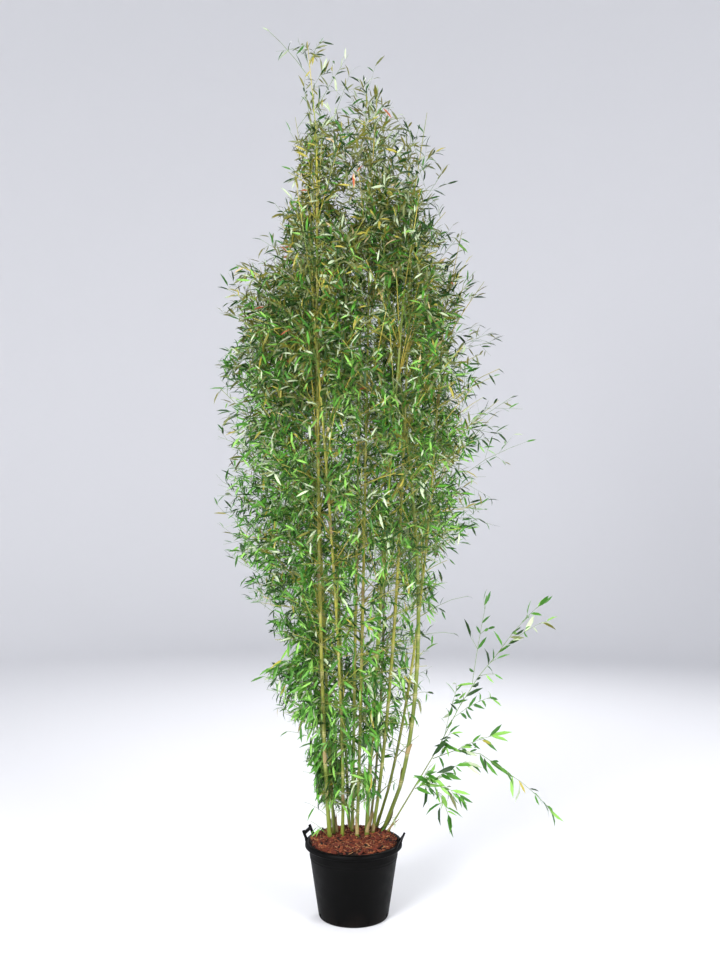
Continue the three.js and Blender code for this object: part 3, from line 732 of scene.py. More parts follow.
def leaf_out(limbs, count, size, random, free):
    """A loose fan of leaves at the end of each limb, alternately to one side and the other: their points,
    and which limb each is on."""
    batches, owners = [], []
    loose = is_loose(limbs.spray)
    draw = partial(random.uniform, size=len(limbs.routes))
    for turn in range(count):
        place = np.clip(1 - turn / count + draw(*LEAVES["spacing"]), 0, 1)
        starts, along = along_route(limbs.routes, place)
        hang = low_share(starts[:, 2]) * np.where(loose, SHOOT_LEAVES["hang"], 1)
        side = 0 if turn == 0 else 1 - 2 * (turn % 2)
        fan = side * LEAVES["fan"] + draw(-LEAVES["vary"], LEAVES["vary"])
        square = turned(level_across(along), along, draw(-LEAVES["roll"], LEAVES["roll"]))
        direction = swung(along, square, fan)
        direction[:, 2] -= draw(*LEAVES["fall"]) + LEAVES["hang"] * hang
        direction = unit(direction)
        tilt = draw(-LEAVES["tilt"], LEAVES["tilt"])
        shoot_tilt = SHOOT_LEAVES["tilt"] * tilt + SHOOT_LEAVES["flat"] * np.sign(tilt)
        across = turned(level_across(direction), direction, np.where(loose, shoot_tilt, tilt))
        lengths = size * draw(*LEAVES["length"]) * (1 + LEAVES["hung_length"] * hang)
        lengths *= np.where(loose, SHOOT_LEAVES["larger"], 1)
        widths = lengths * draw(*LEAVES["width"]) * np.where(loose, SHOOT_LEAVES["broader"], 1)
        bend = draw(*LEAVES["bend"]) + LEAVES["hung_bend"] * hang
        points = leaf_points(starts, direction, across, lengths, widths, bend, draw(*LEAVES["fold"]))
        tips = points[:, -1]
        inside = free | loose | (crown_depth(tips) < edge_limit(tips, random) + LEAVES["over"])
        kept = inside & in_box(points).all(axis=1)
        kept &= clear_of_culms(points[:, OUTER_PART:], CLEARANCE["leaf"])
        before = before_shown_canes(points[:, MIDRIB]) | before_shown_canes(tips)
        kept &= loose | ~before | (draw(0, 1) < SHOWN["kept"])
        kept &= loose | (draw(0, 1) < np.interp(starts[:, 2], *THINNED))
        batches.append(points[kept])
        owners.append(np.flatnonzero(kept))
    return np.vstack(batches), np.concatenate(owners)


# ---- meshes from arrays ----

def mesh_piece(name, points, *groups, smooth=True):
    """A new object with this mesh. Each group is an array of faces with as many corners."""
    mesh = bpy.data.meshes.new(name)
    mesh.vertices.add(len(points))
    mesh.vertices.foreach_set("co", np.ascontiguousarray(points, np.float32).ravel())
    corners = np.concatenate([group.ravel() for group in groups]).astype(np.int32)
    sizes = np.concatenate([np.full(len(group), group.shape[1]) for group in groups])
    mesh.loops.add(len(corners))
    mesh.loops.foreach_set("vertex_index", corners)
    mesh.polygons.add(len(sizes))
    mesh.polygons.foreach_set("loop_start", np.concatenate([[0], np.cumsum(sizes)[:-1]]).astype(np.int32))
    mesh.polygons.foreach_set("use_smooth", np.full(len(sizes), smooth))
    mesh.update(calc_edges=True)
    mesh.validate()
    piece = bpy.data.objects.new(name, mesh)
    bpy.context.scene.collection.objects.link(piece)
    return piece


def repeated(faces, count, step):
    """The faces of one copy, for each of many copies that have a run of vertices each."""
    return (faces[None] + (np.arange(count) * step)[:, None, None]).reshape(-1, faces.shape[1])


def tube_arrays(routes, radii, sides):
    """Round limbs along routes, closed at both ends: points and faces. The radii are (count, rings)."""
    count, rings = routes.shape[:2]
    ahead = unit(np.gradient(routes, axis=1))
    side = level_across(ahead)
    third = np.cross(ahead, side)
    angle = np.linspace(0, 2 * np.pi, sides, endpoint=False)[:, None]
    ring = side[:, :, None] * np.cos(angle) + third[:, :, None] * np.sin(angle)
    points = routes[:, :, None] + ring * radii[:, :, None, None]
    step = rings * sides
    low = np.arange(step).reshape(rings, sides)
    turn = np.roll(low, -1, axis=1)
    quads = np.stack([low[:-1], turn[:-1], turn[1:], low[1:]], axis=-1).reshape(-1, 4)
    caps = np.array([low[0, ::-1], low[-1]])
    return points.reshape(-1, 3), repeated(quads, count, step), repeated(caps, count, step)


def grid_quads(rows, columns):
    """The faces of a sheet of points, row by row."""
    low = np.arange(rows * columns).reshape(rows, columns)
    return np.stack([low[:-1, :-1], low[:-1, 1:], low[1:, 1:], low[1:, :-1]], axis=-1).reshape(-1, 4)


def add_to_object(piece, slot, material, *nodes):
    """Gives a finished piece its material and its body, and hides the solids that it stands for. The slot
    is not used.
    """
    piece.data.materials.append(material)
    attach(piece, BODY)
    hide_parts(*nodes)


# ---- shaping by hand ----

def select_only(piece=None):
    """Leaves edit mode and selects this piece alone, or nothing."""
    if bpy.context.object and bpy.context.object.mode != "OBJECT":
        bpy.ops.object.mode_set(mode="OBJECT")
    bpy.ops.object.select_all(action="DESELECT")
    if piece:
        piece.select_set(True)
        bpy.context.view_layer.objects.active = piece


def edit_all(kind):
    bpy.ops.object.mode_set(mode="EDIT")
    bpy.ops.mesh.select_mode(type=kind)
    bpy.ops.mesh.select_all(action="SELECT")


def end_edit(inside=False):
    """Points all faces outwards, or inwards, and leaves edit mode."""
    bpy.ops.mesh.select_all(action="SELECT")
    bpy.ops.mesh.normals_make_consistent(inside=inside)
    bpy.ops.object.mode_set(mode="OBJECT")


def extrude(x, z):
    bpy.ops.mesh.extrude_region_move(TRANSFORM_OT_translate={"value": (x, 0, z)})


def widen(share, height):
    bpy.ops.transform.resize(value=(share, share, 1), center_override=(0, 0, height))


def settle(piece, name, degrees):
    """Smooths a piece, names it and puts its place into its mesh."""
    select_only(piece)
    bpy.ops.object.shade_smooth_by_angle(angle=math.radians(degrees))
    bpy.ops.object.transform_apply(location=True, rotation=True, scale=True)
    piece.name = piece.data.name = name


def raise_round(profile, sides):
    """A round body raised ring by ring: its top face is lifted and widened along the profile."""
    select_only()
    radius, height = profile[0]
    bpy.ops.mesh.primitive_circle_add(vertices=sides, radius=radius, fill_type="NGON", location=(0, 0, 0))
    edit_all("FACE")
    bpy.ops.transform.translate(value=(0, 0, height))
    for wider, higher in profile[1:]:
        extrude(0, higher - height)
        widen(wider / radius, higher)
        radius, height = wider, higher
    end_edit()
    return bpy.context.object


def apply_modifier(piece, kind, **settings):
    modifier = piece.modifiers.new(kind.title(), kind)
    for key, value in settings.items():
        setattr(modifier, key, value)
    bpy.context.view_layer.objects.active = piece
    bpy.ops.object.modifier_apply(modifier=modifier.name)


def select_faces(piece, chosen):
    """In edit mode, selects the faces whose middle and normal pass the test."""
    bpy.ops.object.mode_set(mode="OBJECT")
    for face in piece.data.polygons:
        face.select = chosen(face.center, face.normal)
    bpy.ops.object.mode_set(mode="EDIT")


# ---- materials ----

def add_node(tree, kind, inputs=None, **settings):
    """Adds a shader node and gives its outputs. An input is a value, a colour or another node's output."""
    node = tree.nodes.new("ShaderNode" + kind)
    for key, value in settings.items():
        setattr(node, key, value)
    for key, value in (inputs or {}).items():
        socket = node.inputs[key]
        if isinstance(value, bpy.types.NodeSocket):
            tree.links.new(value, socket)
        else:
            socket.default_value = (*value, 1.0) if socket.type == "RGBA" else value
    return node.outputs


def make_material(name, finish, *colours):
    """A new material. Its finish is a function that adds the pattern and gives the shader's inputs."""
    material = bpy.data.materials.new(name)
    material.use_nodes = True
    material.node_tree.nodes.clear()
    add = partial(add_node, material.node_tree)
    shader = add("BsdfPrincipled", finish(add, *colours))
    add("OutputMaterial", {"Surface": shader["BSDF"]})
    return material


SHARE, FIRST, SECOND = 0, 6, 7  # the inputs of a mix of two colours
MIXED = 2                       # and its output


def grain(millimetres):
    """The scale of a pattern whose marks are this wide."""
    return 1000 / millimetres


PLASTIC = "moulded_black_polypropylene"


def black_polypropylene(add, plastic, dust):
    """Moulded black polypropylene: a satin skin with a faint orange-peel texture and dust at its foot.
    The orange peel is about twice as coarse as the real one, so that it shows."""
    place = add("TexCoord")["Object"]
    peel = add("TexNoise", {"Vector": place, "Scale": grain(2.381), "Detail": 3})["Fac"]
    scuffs = add("TexNoise", {"Vector": place, "Scale": grain(45.45), "Detail": 8,
                              "Roughness": 0.7})["Fac"]
    height = add("SeparateXYZ", {"Vector": place})["Z"]
    low = add("MapRange", {"Value": height, "From Min": 0.09, "From Max": 0, "To Max": 0.55})["Result"]
    patch = add("MapRange", {"Value": scuffs, "From Min": 0.42, "From Max": 0.70})["Result"]
    dusty = add("Math", {0: low, 1: patch}, operation="MULTIPLY")["Value"]
    rough = add("MapRange", {"Value": scuffs, "From Min": 0.3, "From Max": 0.7, "To Min": 0.42,
                             "To Max": 0.60})["Result"]
    return {
        "Base Color": add("Mix", {SHARE: dusty, FIRST: plastic, SECOND: dust}, data_type="RGBA")[MIXED],
        "Roughness": rough, "Specular IOR Level": 0.06,
        "Normal": add("Bump", {"Height": peel, "Strength": 0.25, "Distance": 0.0004})["Normal"],
    }


def composted_bark(add, tone, gap):
    """Composted bark: matt and fibrous. Its gap colour lies in the hollows between the fibres, as painted
    shade there. Its fibres are broader than the real ones, so that they show."""
    place = add("TexCoord")["Object"]
    fibres = add("TexNoise", {"Vector": place, "Scale": grain(6.25), "Detail": 5,
                              "Roughness": 0.65})["Fac"]
    # The darker gap colour comes in where the fibres' bump sinks: painted shade in the hollows.
    share = add("MapRange", {"Value": fibres, "From Min": 0.35, "From Max": 0.65})["Result"]
    return {
        "Base Color": add("Mix", {SHARE: share, FIRST: gap, SECOND: tone}, data_type="RGBA")[MIXED],
        "Roughness": 0.92, "IOR": 1.4,
        "Normal": add("Bump", {"Height": fibres, "Strength": 0.6, "Distance": 0.0015})["Normal"],
    }


def cane_skin(add, skin, foot, bloom):
    """A bamboo cane's skin: waxy and smooth, streaked along its length, with a pale bloom at each knot.
    It is greener in patches and towards its foot. The streaks are coarser than the real ones, so that
    they show, and 25 times as long as wide."""
    place = add("TexCoord")["Object"]
    drawn = add("Mapping", {"Vector": place, "Scale": (1, 1, 0.04)})["Vector"]
    streak = add("TexNoise", {"Vector": drawn, "Scale": grain(4.762), "Detail": 4})["Fac"]
    cloud = add("TexNoise", {"Vector": place, "Scale": grain(142.9), "Detail": 3})["Fac"]
    patch = add("MapRange", {"Value": cloud, "From Min": 0.42, "From Max": 0.70})["Result"]
    level = add("SeparateXYZ", {"Vector": place})["Z"]
    low = add("MapRange", {"Value": level, "From Min": 1.9, "From Max": 0.7, "To Max": 0.95})["Result"]
    green = add("Math", {0: low, 1: patch}, operation="MAXIMUM")["Value"]
    base = add("Mix", {SHARE: green, FIRST: skin, SECOND: foot}, data_type="RGBA")[MIXED]
    lines = add("MapRange", {"Value": streak, "From Min": 0.3, "From Max": 0.7, "To Min": 0.86,
                             "To Max": 1.12})["Result"]
    lined = add("Mix", {SHARE: 1, FIRST: base, SECOND: lines}, data_type="RGBA",
                blend_type="MULTIPLY")[MIXED]
    knots = add("Attribute", attribute_name="knot")["Fac"]
    return {
        "Base Color": add("Mix", {SHARE: knots, FIRST: lined, SECOND: bloom}, data_type="RGBA")[MIXED],
        "Roughness": 0.38, "IOR": 1.45,
        "Normal": add("Bump", {"Height": streak, "Strength": 0.15, "Distance": 0.0004})["Normal"],
    }


def papery_sheath(add, pale, vein):
    """A dry culm sheath: thin as paper, matt, with veins along it. They are coarser than the real ones,
    so that they show."""
    place = add("TexCoord")["Object"]
    drawn = add("Mapping", {"Vector": place, "Scale": (1, 1, 0.08)})["Vector"]
    veins = add("TexNoise", {"Vector": drawn, "Scale": grain(3.333), "Detail": 4})["Fac"]
    shade = add("Mix", {SHARE: veins, FIRST: pale, SECOND: vein}, data_type="RGBA")[MIXED]
    return {"Base Color": shade, "Roughness": 0.75, "IOR": 1.4}


def leaf_blade(_, tone, roughness):
    """A bamboo leaf: thin and matt, with a slight sheen along its blade. Its colour is even."""
    return {"Base Color": tone, "Roughness": roughness, "Specular IOR Level": 0.30}


def studio_paper(_, tone):
    """The pale paper of a studio floor: matt and even."""
    return {"Base Color": tone, "Roughness": 0.9, "Specular IOR Level": 0.1}


# ---- what a user may change ----

def length(name, text, default):
    return FloatProperty(name=name, description=text, default=default, min=0, unit="LENGTH")


def number(name, text, default):
    return IntProperty(name=name, description=text, default=default, min=1)


def power(name, text, default):
    return FloatProperty(name=name, description=text, default=default, min=0, unit="POWER")


def colour(name, text, code):
    return FloatVectorProperty(name=name, description=text, default=linear(code), subtype="COLOR", size=3,
                               min=0, max=1)


class PotSettings(bpy.types.PropertyGroup):
    rim_radius: length("Rim radius", "Radius of the rolled rim", POT_HIGH.x)
    height: length("Height", "Height of the pot", POT_HIGH.z)
    plastic: colour("Plastic", "Colour of the moulded plastic", "#040404")
    dust: colour("Dust", "Colour of the dust on the foot", "#1f1814")


class BarkSettings(bpy.types.PropertyGroup):
    chips: number("Chips", "Chips of bark on top", 1900)
    fibres: number("Fibres", "Pale coir fibres among the chips", 420)
    # The darkest bark colour is painted shade: it covers the bed, which shows only between the chips, and
    # the chips that lie lowest. Each gap colour is painted shade in the hollows between fibres.
    dark_shadowed: colour("Shadowed bark", "Colour of the damp chips", "#1e0e09")
    dark_shadowed_gap: colour("Shadowed gaps", "Colour between their fibres", "#1c0e0a")
    red: colour("Red bark", "Colour of most of the chips", "#64291a")
    red_gap: colour("Red gaps", "Colour between their fibres", "#4a2115")
    light: colour("Light bark", "Colour of the dry chips", "#8d4a2b")
    light_gap: colour("Light gaps", "Colour between their fibres", "#4e2415")
    coir: colour("Coir", "Colour of the dry fibres", "#c79a6a")
    coir_gap: colour("Coir gaps", "Colour between the dry fibres", "#94603a")


class CaneSettings(bpy.types.PropertyGroup):
    knot_swell: FloatProperty(name="Knot swell", description="How far the knots stand out, as a share of "
                              "the cane's radius", default=0.12, min=0, max=0.5, subtype="FACTOR")
    golden: colour("Golden cane", "Colour of the ripe canes", "#b9af4a")
    golden_foot: colour("Golden cane's foot", "Colour of the ripe canes low down", "#68762c")
    green: colour("Green cane", "Colour of the young canes", "#7f8f35")
    green_foot: colour("Green cane's foot", "Colour of the young canes low down", "#626f2c")
    shaded: colour("Shaded cane", "Colour of the shaded canes", "#4c5530")
    shaded_foot: colour("Shaded cane's foot", "Colour of the shaded canes low down", "#6b6a38")
    bloom: colour("Bloom", "Colour of the ring at a knot", "#b3a976")
    shaded_bloom: colour("Shaded bloom", "Colour of the ring at a shaded knot", "#8a8560")
    sheath: colour("Sheath", "Colour of the dry sheaths", "#a8946a")
    vein: colour("Vein", "Colour of the veins of the sheaths", "#7f6d42")


class FoliageSettings(bpy.types.PropertyGroup):
    leaf_length: length("Leaf length", "Length of a middling leaf", 0.055)
    twig: colour("Twig", "Colour of the golden branches", "#b0a042")
    low_twig: colour("Low twig", "Colour of the golden branches low down", "#758a3c")
    young_twig: colour("Young twig", "Colour of the young twigs", "#64803a")


class StudioSettings(bpy.types.PropertyGroup):
    floor: colour("Floor", "Colour of the studio's floor", "#e9e9ec")
    key_power: power("Key light", "Power of the main light", 580)
    fill_power: power("Fill light", "Power of the softer light", 260)


# ---- the pieces ----

class BAMBOO_OT_pot(bpy.types.Operator):
    """Moulds the nursery pot with its rolled rim, ribs and drain slots"""
    bl_idname = "bamboo.make_pot"
    bl_label = "Make the pot"

    def execute(self, context):
        settings = context.scene.bamboo_pot
        base, mouth, edge, wall = (POT[key] for key in ("base", "mouth", "edge", "wall"))
        rim, top, under = settings.rim_radius, settings.height, settings.height - POT["rim_depth"]

        def wall_at(height, rib=0):
            return lerp(base, mouth + wall, (height - edge) / (under - edge)) + rib, height

        profile = [(base - edge, 0), (base - edge / 3, edge / 3), (base, edge), wall_at(POT["plinth"])]
        for level in POT["rib_levels"]:
            profile += [wall_at(level - POT["rib_flank"]), wall_at(level, POT["rib"]),
                        wall_at(level + POT["rib_flank"])]
        # the rolled rim, outside and in, and then the inner wall and the floor
        profile += [
            (mouth + wall, under), (rim - 0.004, under), (rim - 0.0005, under + 0.003),
            (rim, under + 0.010), (rim - 0.0010, top - 0.006), (rim - 0.0045, top - 0.0012),
            (rim - 0.009, top), (mouth + 0.006, top), (mouth + 0.0015, top - 0.002), (mouth, top - 0.006),
            (base - wall, POT["floor"] + edge), (base - wall - edge, POT["floor"]),
        ]
        pot = raise_round(profile, POT["sides"])

        def on_slot(centre, normal):
            turn = math.degrees(math.atan2(centre.y, centre.x)) % SLOT["every"] - SLOT["every"] / 2
            outside = normal.z < SLOT["upright"] and normal.dot(centre) > 0
            return outside and SLOT["low"] < centre.z < SLOT["high"] and abs(turn) < SLOT["half"]

        select_faces(pot, on_slot)
        bpy.ops.mesh.inset(thickness=SLOT["frame"])
        bpy.ops.mesh.extrude_region_shrink_fatten(TRANSFORM_OT_shrink_fatten={"value": -SLOT["depth"]})
        bpy.ops.object.mode_set(mode="OBJECT")
        settle(pot, "nursery_pot", 40)
        plastic = make_material(PLASTIC, black_polypropylene, settings.plastic, settings.dust)
        add_to_object(pot, "pot_plastic", plastic, "pot")
        return {"FINISHED"}


class BAMBOO_OT_grips(bpy.types.Operator):
    """Bends the two strap handles on the rim"""
    bl_idname = "bamboo.make_grips"
    bl_label = "Make the handles"

    def execute(self, context):
        azimuth = GRIP["azimuth"]
        for name, place in (("grip_left", azimuth), ("grip_right", azimuth - math.pi)):
            strap = self.bend_strap()
            seat = GRIP["seat"] + GRIP["thick"] / 2
            strap.rotation_euler = (-math.atan(GRIP["lean"]), 0, place - math.pi / 2)
            strap.location = (seat * math.cos(place), seat * math.sin(place), POT_HIGH.z)
            settle(strap, f"strap_{name}", 50)
            add_to_object(strap, "pot_plastic", bpy.data.materials[PLASTIC], name)
        return {"FINISHED"}

    def bend_strap(self):
        """A flat strap from one widened foot up, over and down to the other."""
        leg, foot, (wider, thicker) = GRIP["leg"], GRIP["foot"], GRIP["foot_wider"]
        half = (GRIP["width"] - leg) / 2
        bend = GRIP["corner"] - leg / 2
        rise = GRIP["height"] / math.cos(math.atan(GRIP["lean"])) - leg / 2 - GRIP["tuck"]
        upright, corner = rise - bend - foot, half - bend
        turn_over = partial(bpy.ops.mesh.spin, steps=6, angle=math.pi / 2, axis=(0, 1, 0))
        select_only()
        bpy.ops.mesh.primitive_plane_add(size=1, location=(0, 0, 0))
        strap = bpy.context.object
        edit_all("FACE")
        size = (leg * wider, GRIP["thick"] * thicker, 1)
        bpy.ops.transform.resize(value=size, center_override=(0, 0, 0))
        bpy.ops.transform.translate(value=(-half, 0, -foot))
        extrude(0, 2 * foot)
        bpy.ops.transform.resize(value=(1 / wider, 1 / thicker, 1), center_override=(-half, 0, foot))
        extrude(0, upright)
        turn_over(center=(-corner, 0, rise - bend))
        extrude(2 * corner, 0)
        turn_over(center=(corner, 0, rise - bend))
        extrude(0, -upright)
        extrude(0, -2 * foot)
        bpy.ops.transform.resize(value=(wider, thicker, 1), center_override=(half, 0, -foot))
        bpy.ops.mesh.select_all(action="SELECT")
        bpy.ops.mesh.remove_doubles(threshold=0.00005)
        end_edit()
        apply_modifier(strap, "BEVEL", width=GRIP["round"], segments=3, limit_method="ANGLE",
                       angle_limit=math.radians(50))
        return strap


def bark_level(radius):
    """The mound's level: flat in the middle, falling to the pot's wall at its edge."""
    share = np.clip((radius - BARK["flat"]) / (POT["mouth"] - BARK["flat"]), 0, 1)
    return BARK_TOP - BARK["below"] - BARK["fall"] * share ** 2


def chip_arrays(count, sizes, lift, random):
    """Splintered chips that lie about on the mound: bent six-sided slivers with uneven corners."""
    radius = (POT["mouth"] - BARK["loose"]) * np.sqrt(random.uniform(0, 1, count))
    azimuth = random.uniform(0, 2 * np.pi, count)
    level = bark_level(radius) + random.uniform(*lift, count)
    centre = np.stack([radius * np.cos(azimuth), radius * np.sin(azimuth), level], axis=1)
    yaw, pitch = random.uniform(0, 2 * np.pi, count), random.normal(0, CHIP_LIE["pitch"], count)
    along = np.stack([np.cos(yaw) * np.cos(pitch), np.sin(yaw) * np.cos(pitch), np.sin(pitch)], axis=1)
    across = turned(level_across(along), along, random.normal(0, CHIP_LIE["roll"], count))
    axes = np.stack([along, across, np.cross(along, across)], axis=1)
    sizes = np.stack([random.uniform(*span, count) for span in sizes], axis=1)
    outline = [(-1, -1), (0, -1), (1, -1), (1, 1), (0, 1), (-1, 1)]
    corners = np.array([(x, y, z) for z in (-1, 1) for x, y in outline]) / 2
    uneven = corners * random.uniform(*CHIP_LIE["uneven"], (count, 12, 3))
    uneven[:, [1, 4, 7, 10], 2] += random.normal(0, CHIP_LIE["warp"], (count, 1))
    points = centre[:, None] + (uneven * sizes[:, None]) @ axes
    out = np.hypot(points[..., 0], points[..., 1])
    points[..., :2] *= column(np.minimum(1, (POT["mouth"] - BARK["clear"]) / np.maximum(out, 1e-6)))
    quads = [(0, 5, 4, 1), (1, 4, 3, 2), (6, 7, 10, 11), (7, 8, 9, 10)]
    quads += [(k, (k + 1) % 6, (k + 1) % 6 + 6, k + 6) for k in range(6)]
    return points.reshape(-1, 3), repeated(np.array(quads), count, 12)


class BAMBOO_OT_bark(bpy.types.Operator):
    """Fills the pot with potting bark: a lumpy bed, loose chips and dry fibres"""
    bl_idname = "bamboo.make_bark"
    bl_label = "Make the potting bark"

    def execute(self, context):
        settings = context.scene.bamboo_bark
        names = {"dark_shadowed": "damp_bark", "red": "red_bark", "light": "light_bark", "coir": "dry_fibre"}
        finishes = {key: make_material(name, composted_bark, getattr(settings, key),
                                       getattr(settings, f"{key}_gap")) for key, name in names.items()}
        # The bed shows only between the chips, so its darkest bark colour is painted shade.
        add_to_object(self.make_bed(), "potting_bark", finishes["dark_shadowed"], "potting_bark")
        random = np.random.default_rng(7)
        count = settings.chips
        # The darkest chips lie lowest, among the others: their colour is painted shade.
        kinds = [("bark_chips_damp", int(count * 0.30), CHIP, (-0.004, 0.002), "dark_shadowed"),
                 ("bark_chips_red", int(count * 0.45), CHIP, (-0.002, 0.005), "red"),
                 ("bark_chips_light", int(count * 0.25), CHIP, (-0.001, 0.005), "light"),
                 ("bark_fibres", settings.fibres, FIBRE, (0.001, 0.007), "coir")]
        for name, count, sizes, lift, finish in kinds:
            piece = mesh_piece(name, *chip_arrays(count, sizes, lift, random), smooth=False)
            add_to_object(piece, "potting_bark", finishes[finish], "potting_bark")
        return {"FINISHED"}

    def make_bed(self):
        base, mouth, wall, floor, edge = (POT[key] for key in ("base", "mouth", "wall", "floor", "edge"))
        brim = mouth - BARK["gap"]
        profile = [(base - wall - edge - SEAT, floor + SEAT), (base - wall - SEAT, floor + edge),
                   (brim - BARK["bevel"], float(bark_level(brim)))]
        rings = np.arange(BARK["edge"], BARK["centre"], -BARK["rings"])
        profile += [(radius, float(bark_level(radius))) for radius in rings]
        bed = raise_round(profile, BARK["sides"])
        select_faces(bed, lambda centre, normal: centre.z > BARK["top"] and normal.z > 0.5)
        bpy.ops.mesh.subdivide(number_cuts=1)
        bpy.ops.object.mode_set(mode="OBJECT")
        top = bed.vertex_groups.new(name="top")
        high = [vertex for vertex in bed.data.vertices if vertex.co.z > BARK["top"]]
        top.add([vertex.index for vertex in high if vertex.co.xy.length < BARK["lumpy"]], 1.0, "REPLACE")
        lumps = bpy.data.textures.new("bark_lumps", "CLOUDS")
        lumps.noise_scale = BARK["lump"]
        apply_modifier(bed, "DISPLACE", texture=lumps, texture_coords="LOCAL", vertex_group="top",
                       strength=BARK["lump_height"], mid_level=0.75)
        settle(bed, "bark_bed", 30)
        return bed


def cane_profile(culm, swell):
    """Levels, swellings and bloom up a cane: a scar, a groove and a ridge at each knot."""
    rows = [(FOOT_LEVEL + step, out, pale) for step, out, pale in FOOT_RELIEF]
    for level in scar_levels(culm):
        rows += [(level + step, out * swell, pale) for step, out, pale in KNOT_RELIEF]
    rows = [row for row in rows if row[0] < culm.tip[2] - CANE_END]
    return np.array([*rows, (culm.tip[2], 0, 0)])


class BAMBOO_OT_canes(bpy.types.Operator):
    """Grows the canes from foot to tip, with a ridge, a scar and a pale bloom at each knot"""
    bl_idname = "bamboo.make_canes"
    bl_label = "Make the canes"

    def execute(self, context):
        settings = context.scene.bamboo_canes
        finishes = {skin: make_material(f"{skin}_cane", cane_skin, *colours) for skin, colours in (
            ("golden", (settings.golden, settings.golden_foot, settings.bloom)),
            ("green", (settings.green, settings.green_foot, settings.bloom)),
            ("shaded", (settings.shaded, settings.shaded_foot, settings.shaded_bloom)))}
        canes = [(f"culm_{i + 1:02d}", "culm", culm) for i, culm in enumerate(CULMS)]
        for name, slot, culm in [*canes, ("side_shoot", "side_shoot", SHOOT)]:
            levels, swells, blooms = cane_profile(culm, settings.knot_swell).T
            radii = culm_radius(culm, levels) * (1 + swells)
            points, *faces = tube_arrays(culm_centre(culm, levels)[None], radii[None], CANE_SIDES)
            points[:, 2] = np.repeat(levels, CANE_SIDES)  # the rings lie level
            piece = mesh_piece(f"cane_{name}", points, *faces)
            bloom = piece.data.attributes.new("knot", "FLOAT", "POINT")
            bloom.data.foreach_set("value", np.repeat(blooms, CANE_SIDES).astype(np.float32))
            add_to_object(piece, slot, finishes[culm.skin], name)
        return {"FINISHED"}


def sheath_points(culm, level, azimuth, height, wrap, flare):
    """One dry sheath: a curved sheet that clasps its cane at a knot and stands off it at its point."""
    share = column(np.linspace(0, 1, SHEATH["rows"]))
    across = np.linspace(-0.5, 0.5, SHEATH["columns"]) * wrap
    turn = azimuth + across * (1 - share ** SHEATH["narrow"]) * SHEATH["hug"] + SHEATH["twist"] * share
    levels = level + share * height
    out = culm_radius(culm, levels) + SHEATH["off"] + flare * share ** 2
    points = culm_centre(culm, np.broadcast_to(levels, turn.shape))
    points[..., 0] += out * np.cos(turn)
    points[..., 1] += out * np.sin(turn)
    return points.reshape(-1, 3)


class BAMBOO_OT_sheaths(bpy.types.Operator):
    """Clasps dry papery sheaths round the canes at their lower knots"""
    bl_idname = "bamboo.make_sheaths"
    bl_label = "Make the sheaths"

    def execute(self, context):
        settings = context.scene.bamboo_canes
        random = np.random.default_rng(23)
        sheaths = []
        for culm in [*CULMS, SHOOT]:
            foot = FOOT_LEVEL + SHEATH["lowest"]
            for level in [foot, *scar_levels(culm)]:
                share = SHEATH["at_foot"] if level == foot else SHEATH["at_knot"]
                if level > culm.tip[2] - SHEATH["bare_tip"] or random.random() > share:
                    continue
                height = random.uniform(*SHEATH["height"])
                azimuth = random.uniform(0, 2 * math.pi)
                wrap, flare = (random.uniform(*SHEATH[key]) for key in ("wrap", "flare"))
                sheaths.append(sheath_points(culm, level, azimuth, height, wrap, flare))
        size = SHEATH["rows"] * SHEATH["columns"]
        faces = repeated(grid_quads(SHEATH["rows"], SHEATH["columns"]), len(sheaths), size)
        piece = mesh_piece("culm_sheaths", np.vstack(sheaths), faces)
        finish = make_material("papery_sheath", papery_sheath, settings.sheath, settings.vein)
        add_to_object(piece, "culm", finish, *[f"culm_{i + 1:02d}" for i in range(len(CULMS))])
        return {"FINISHED"}


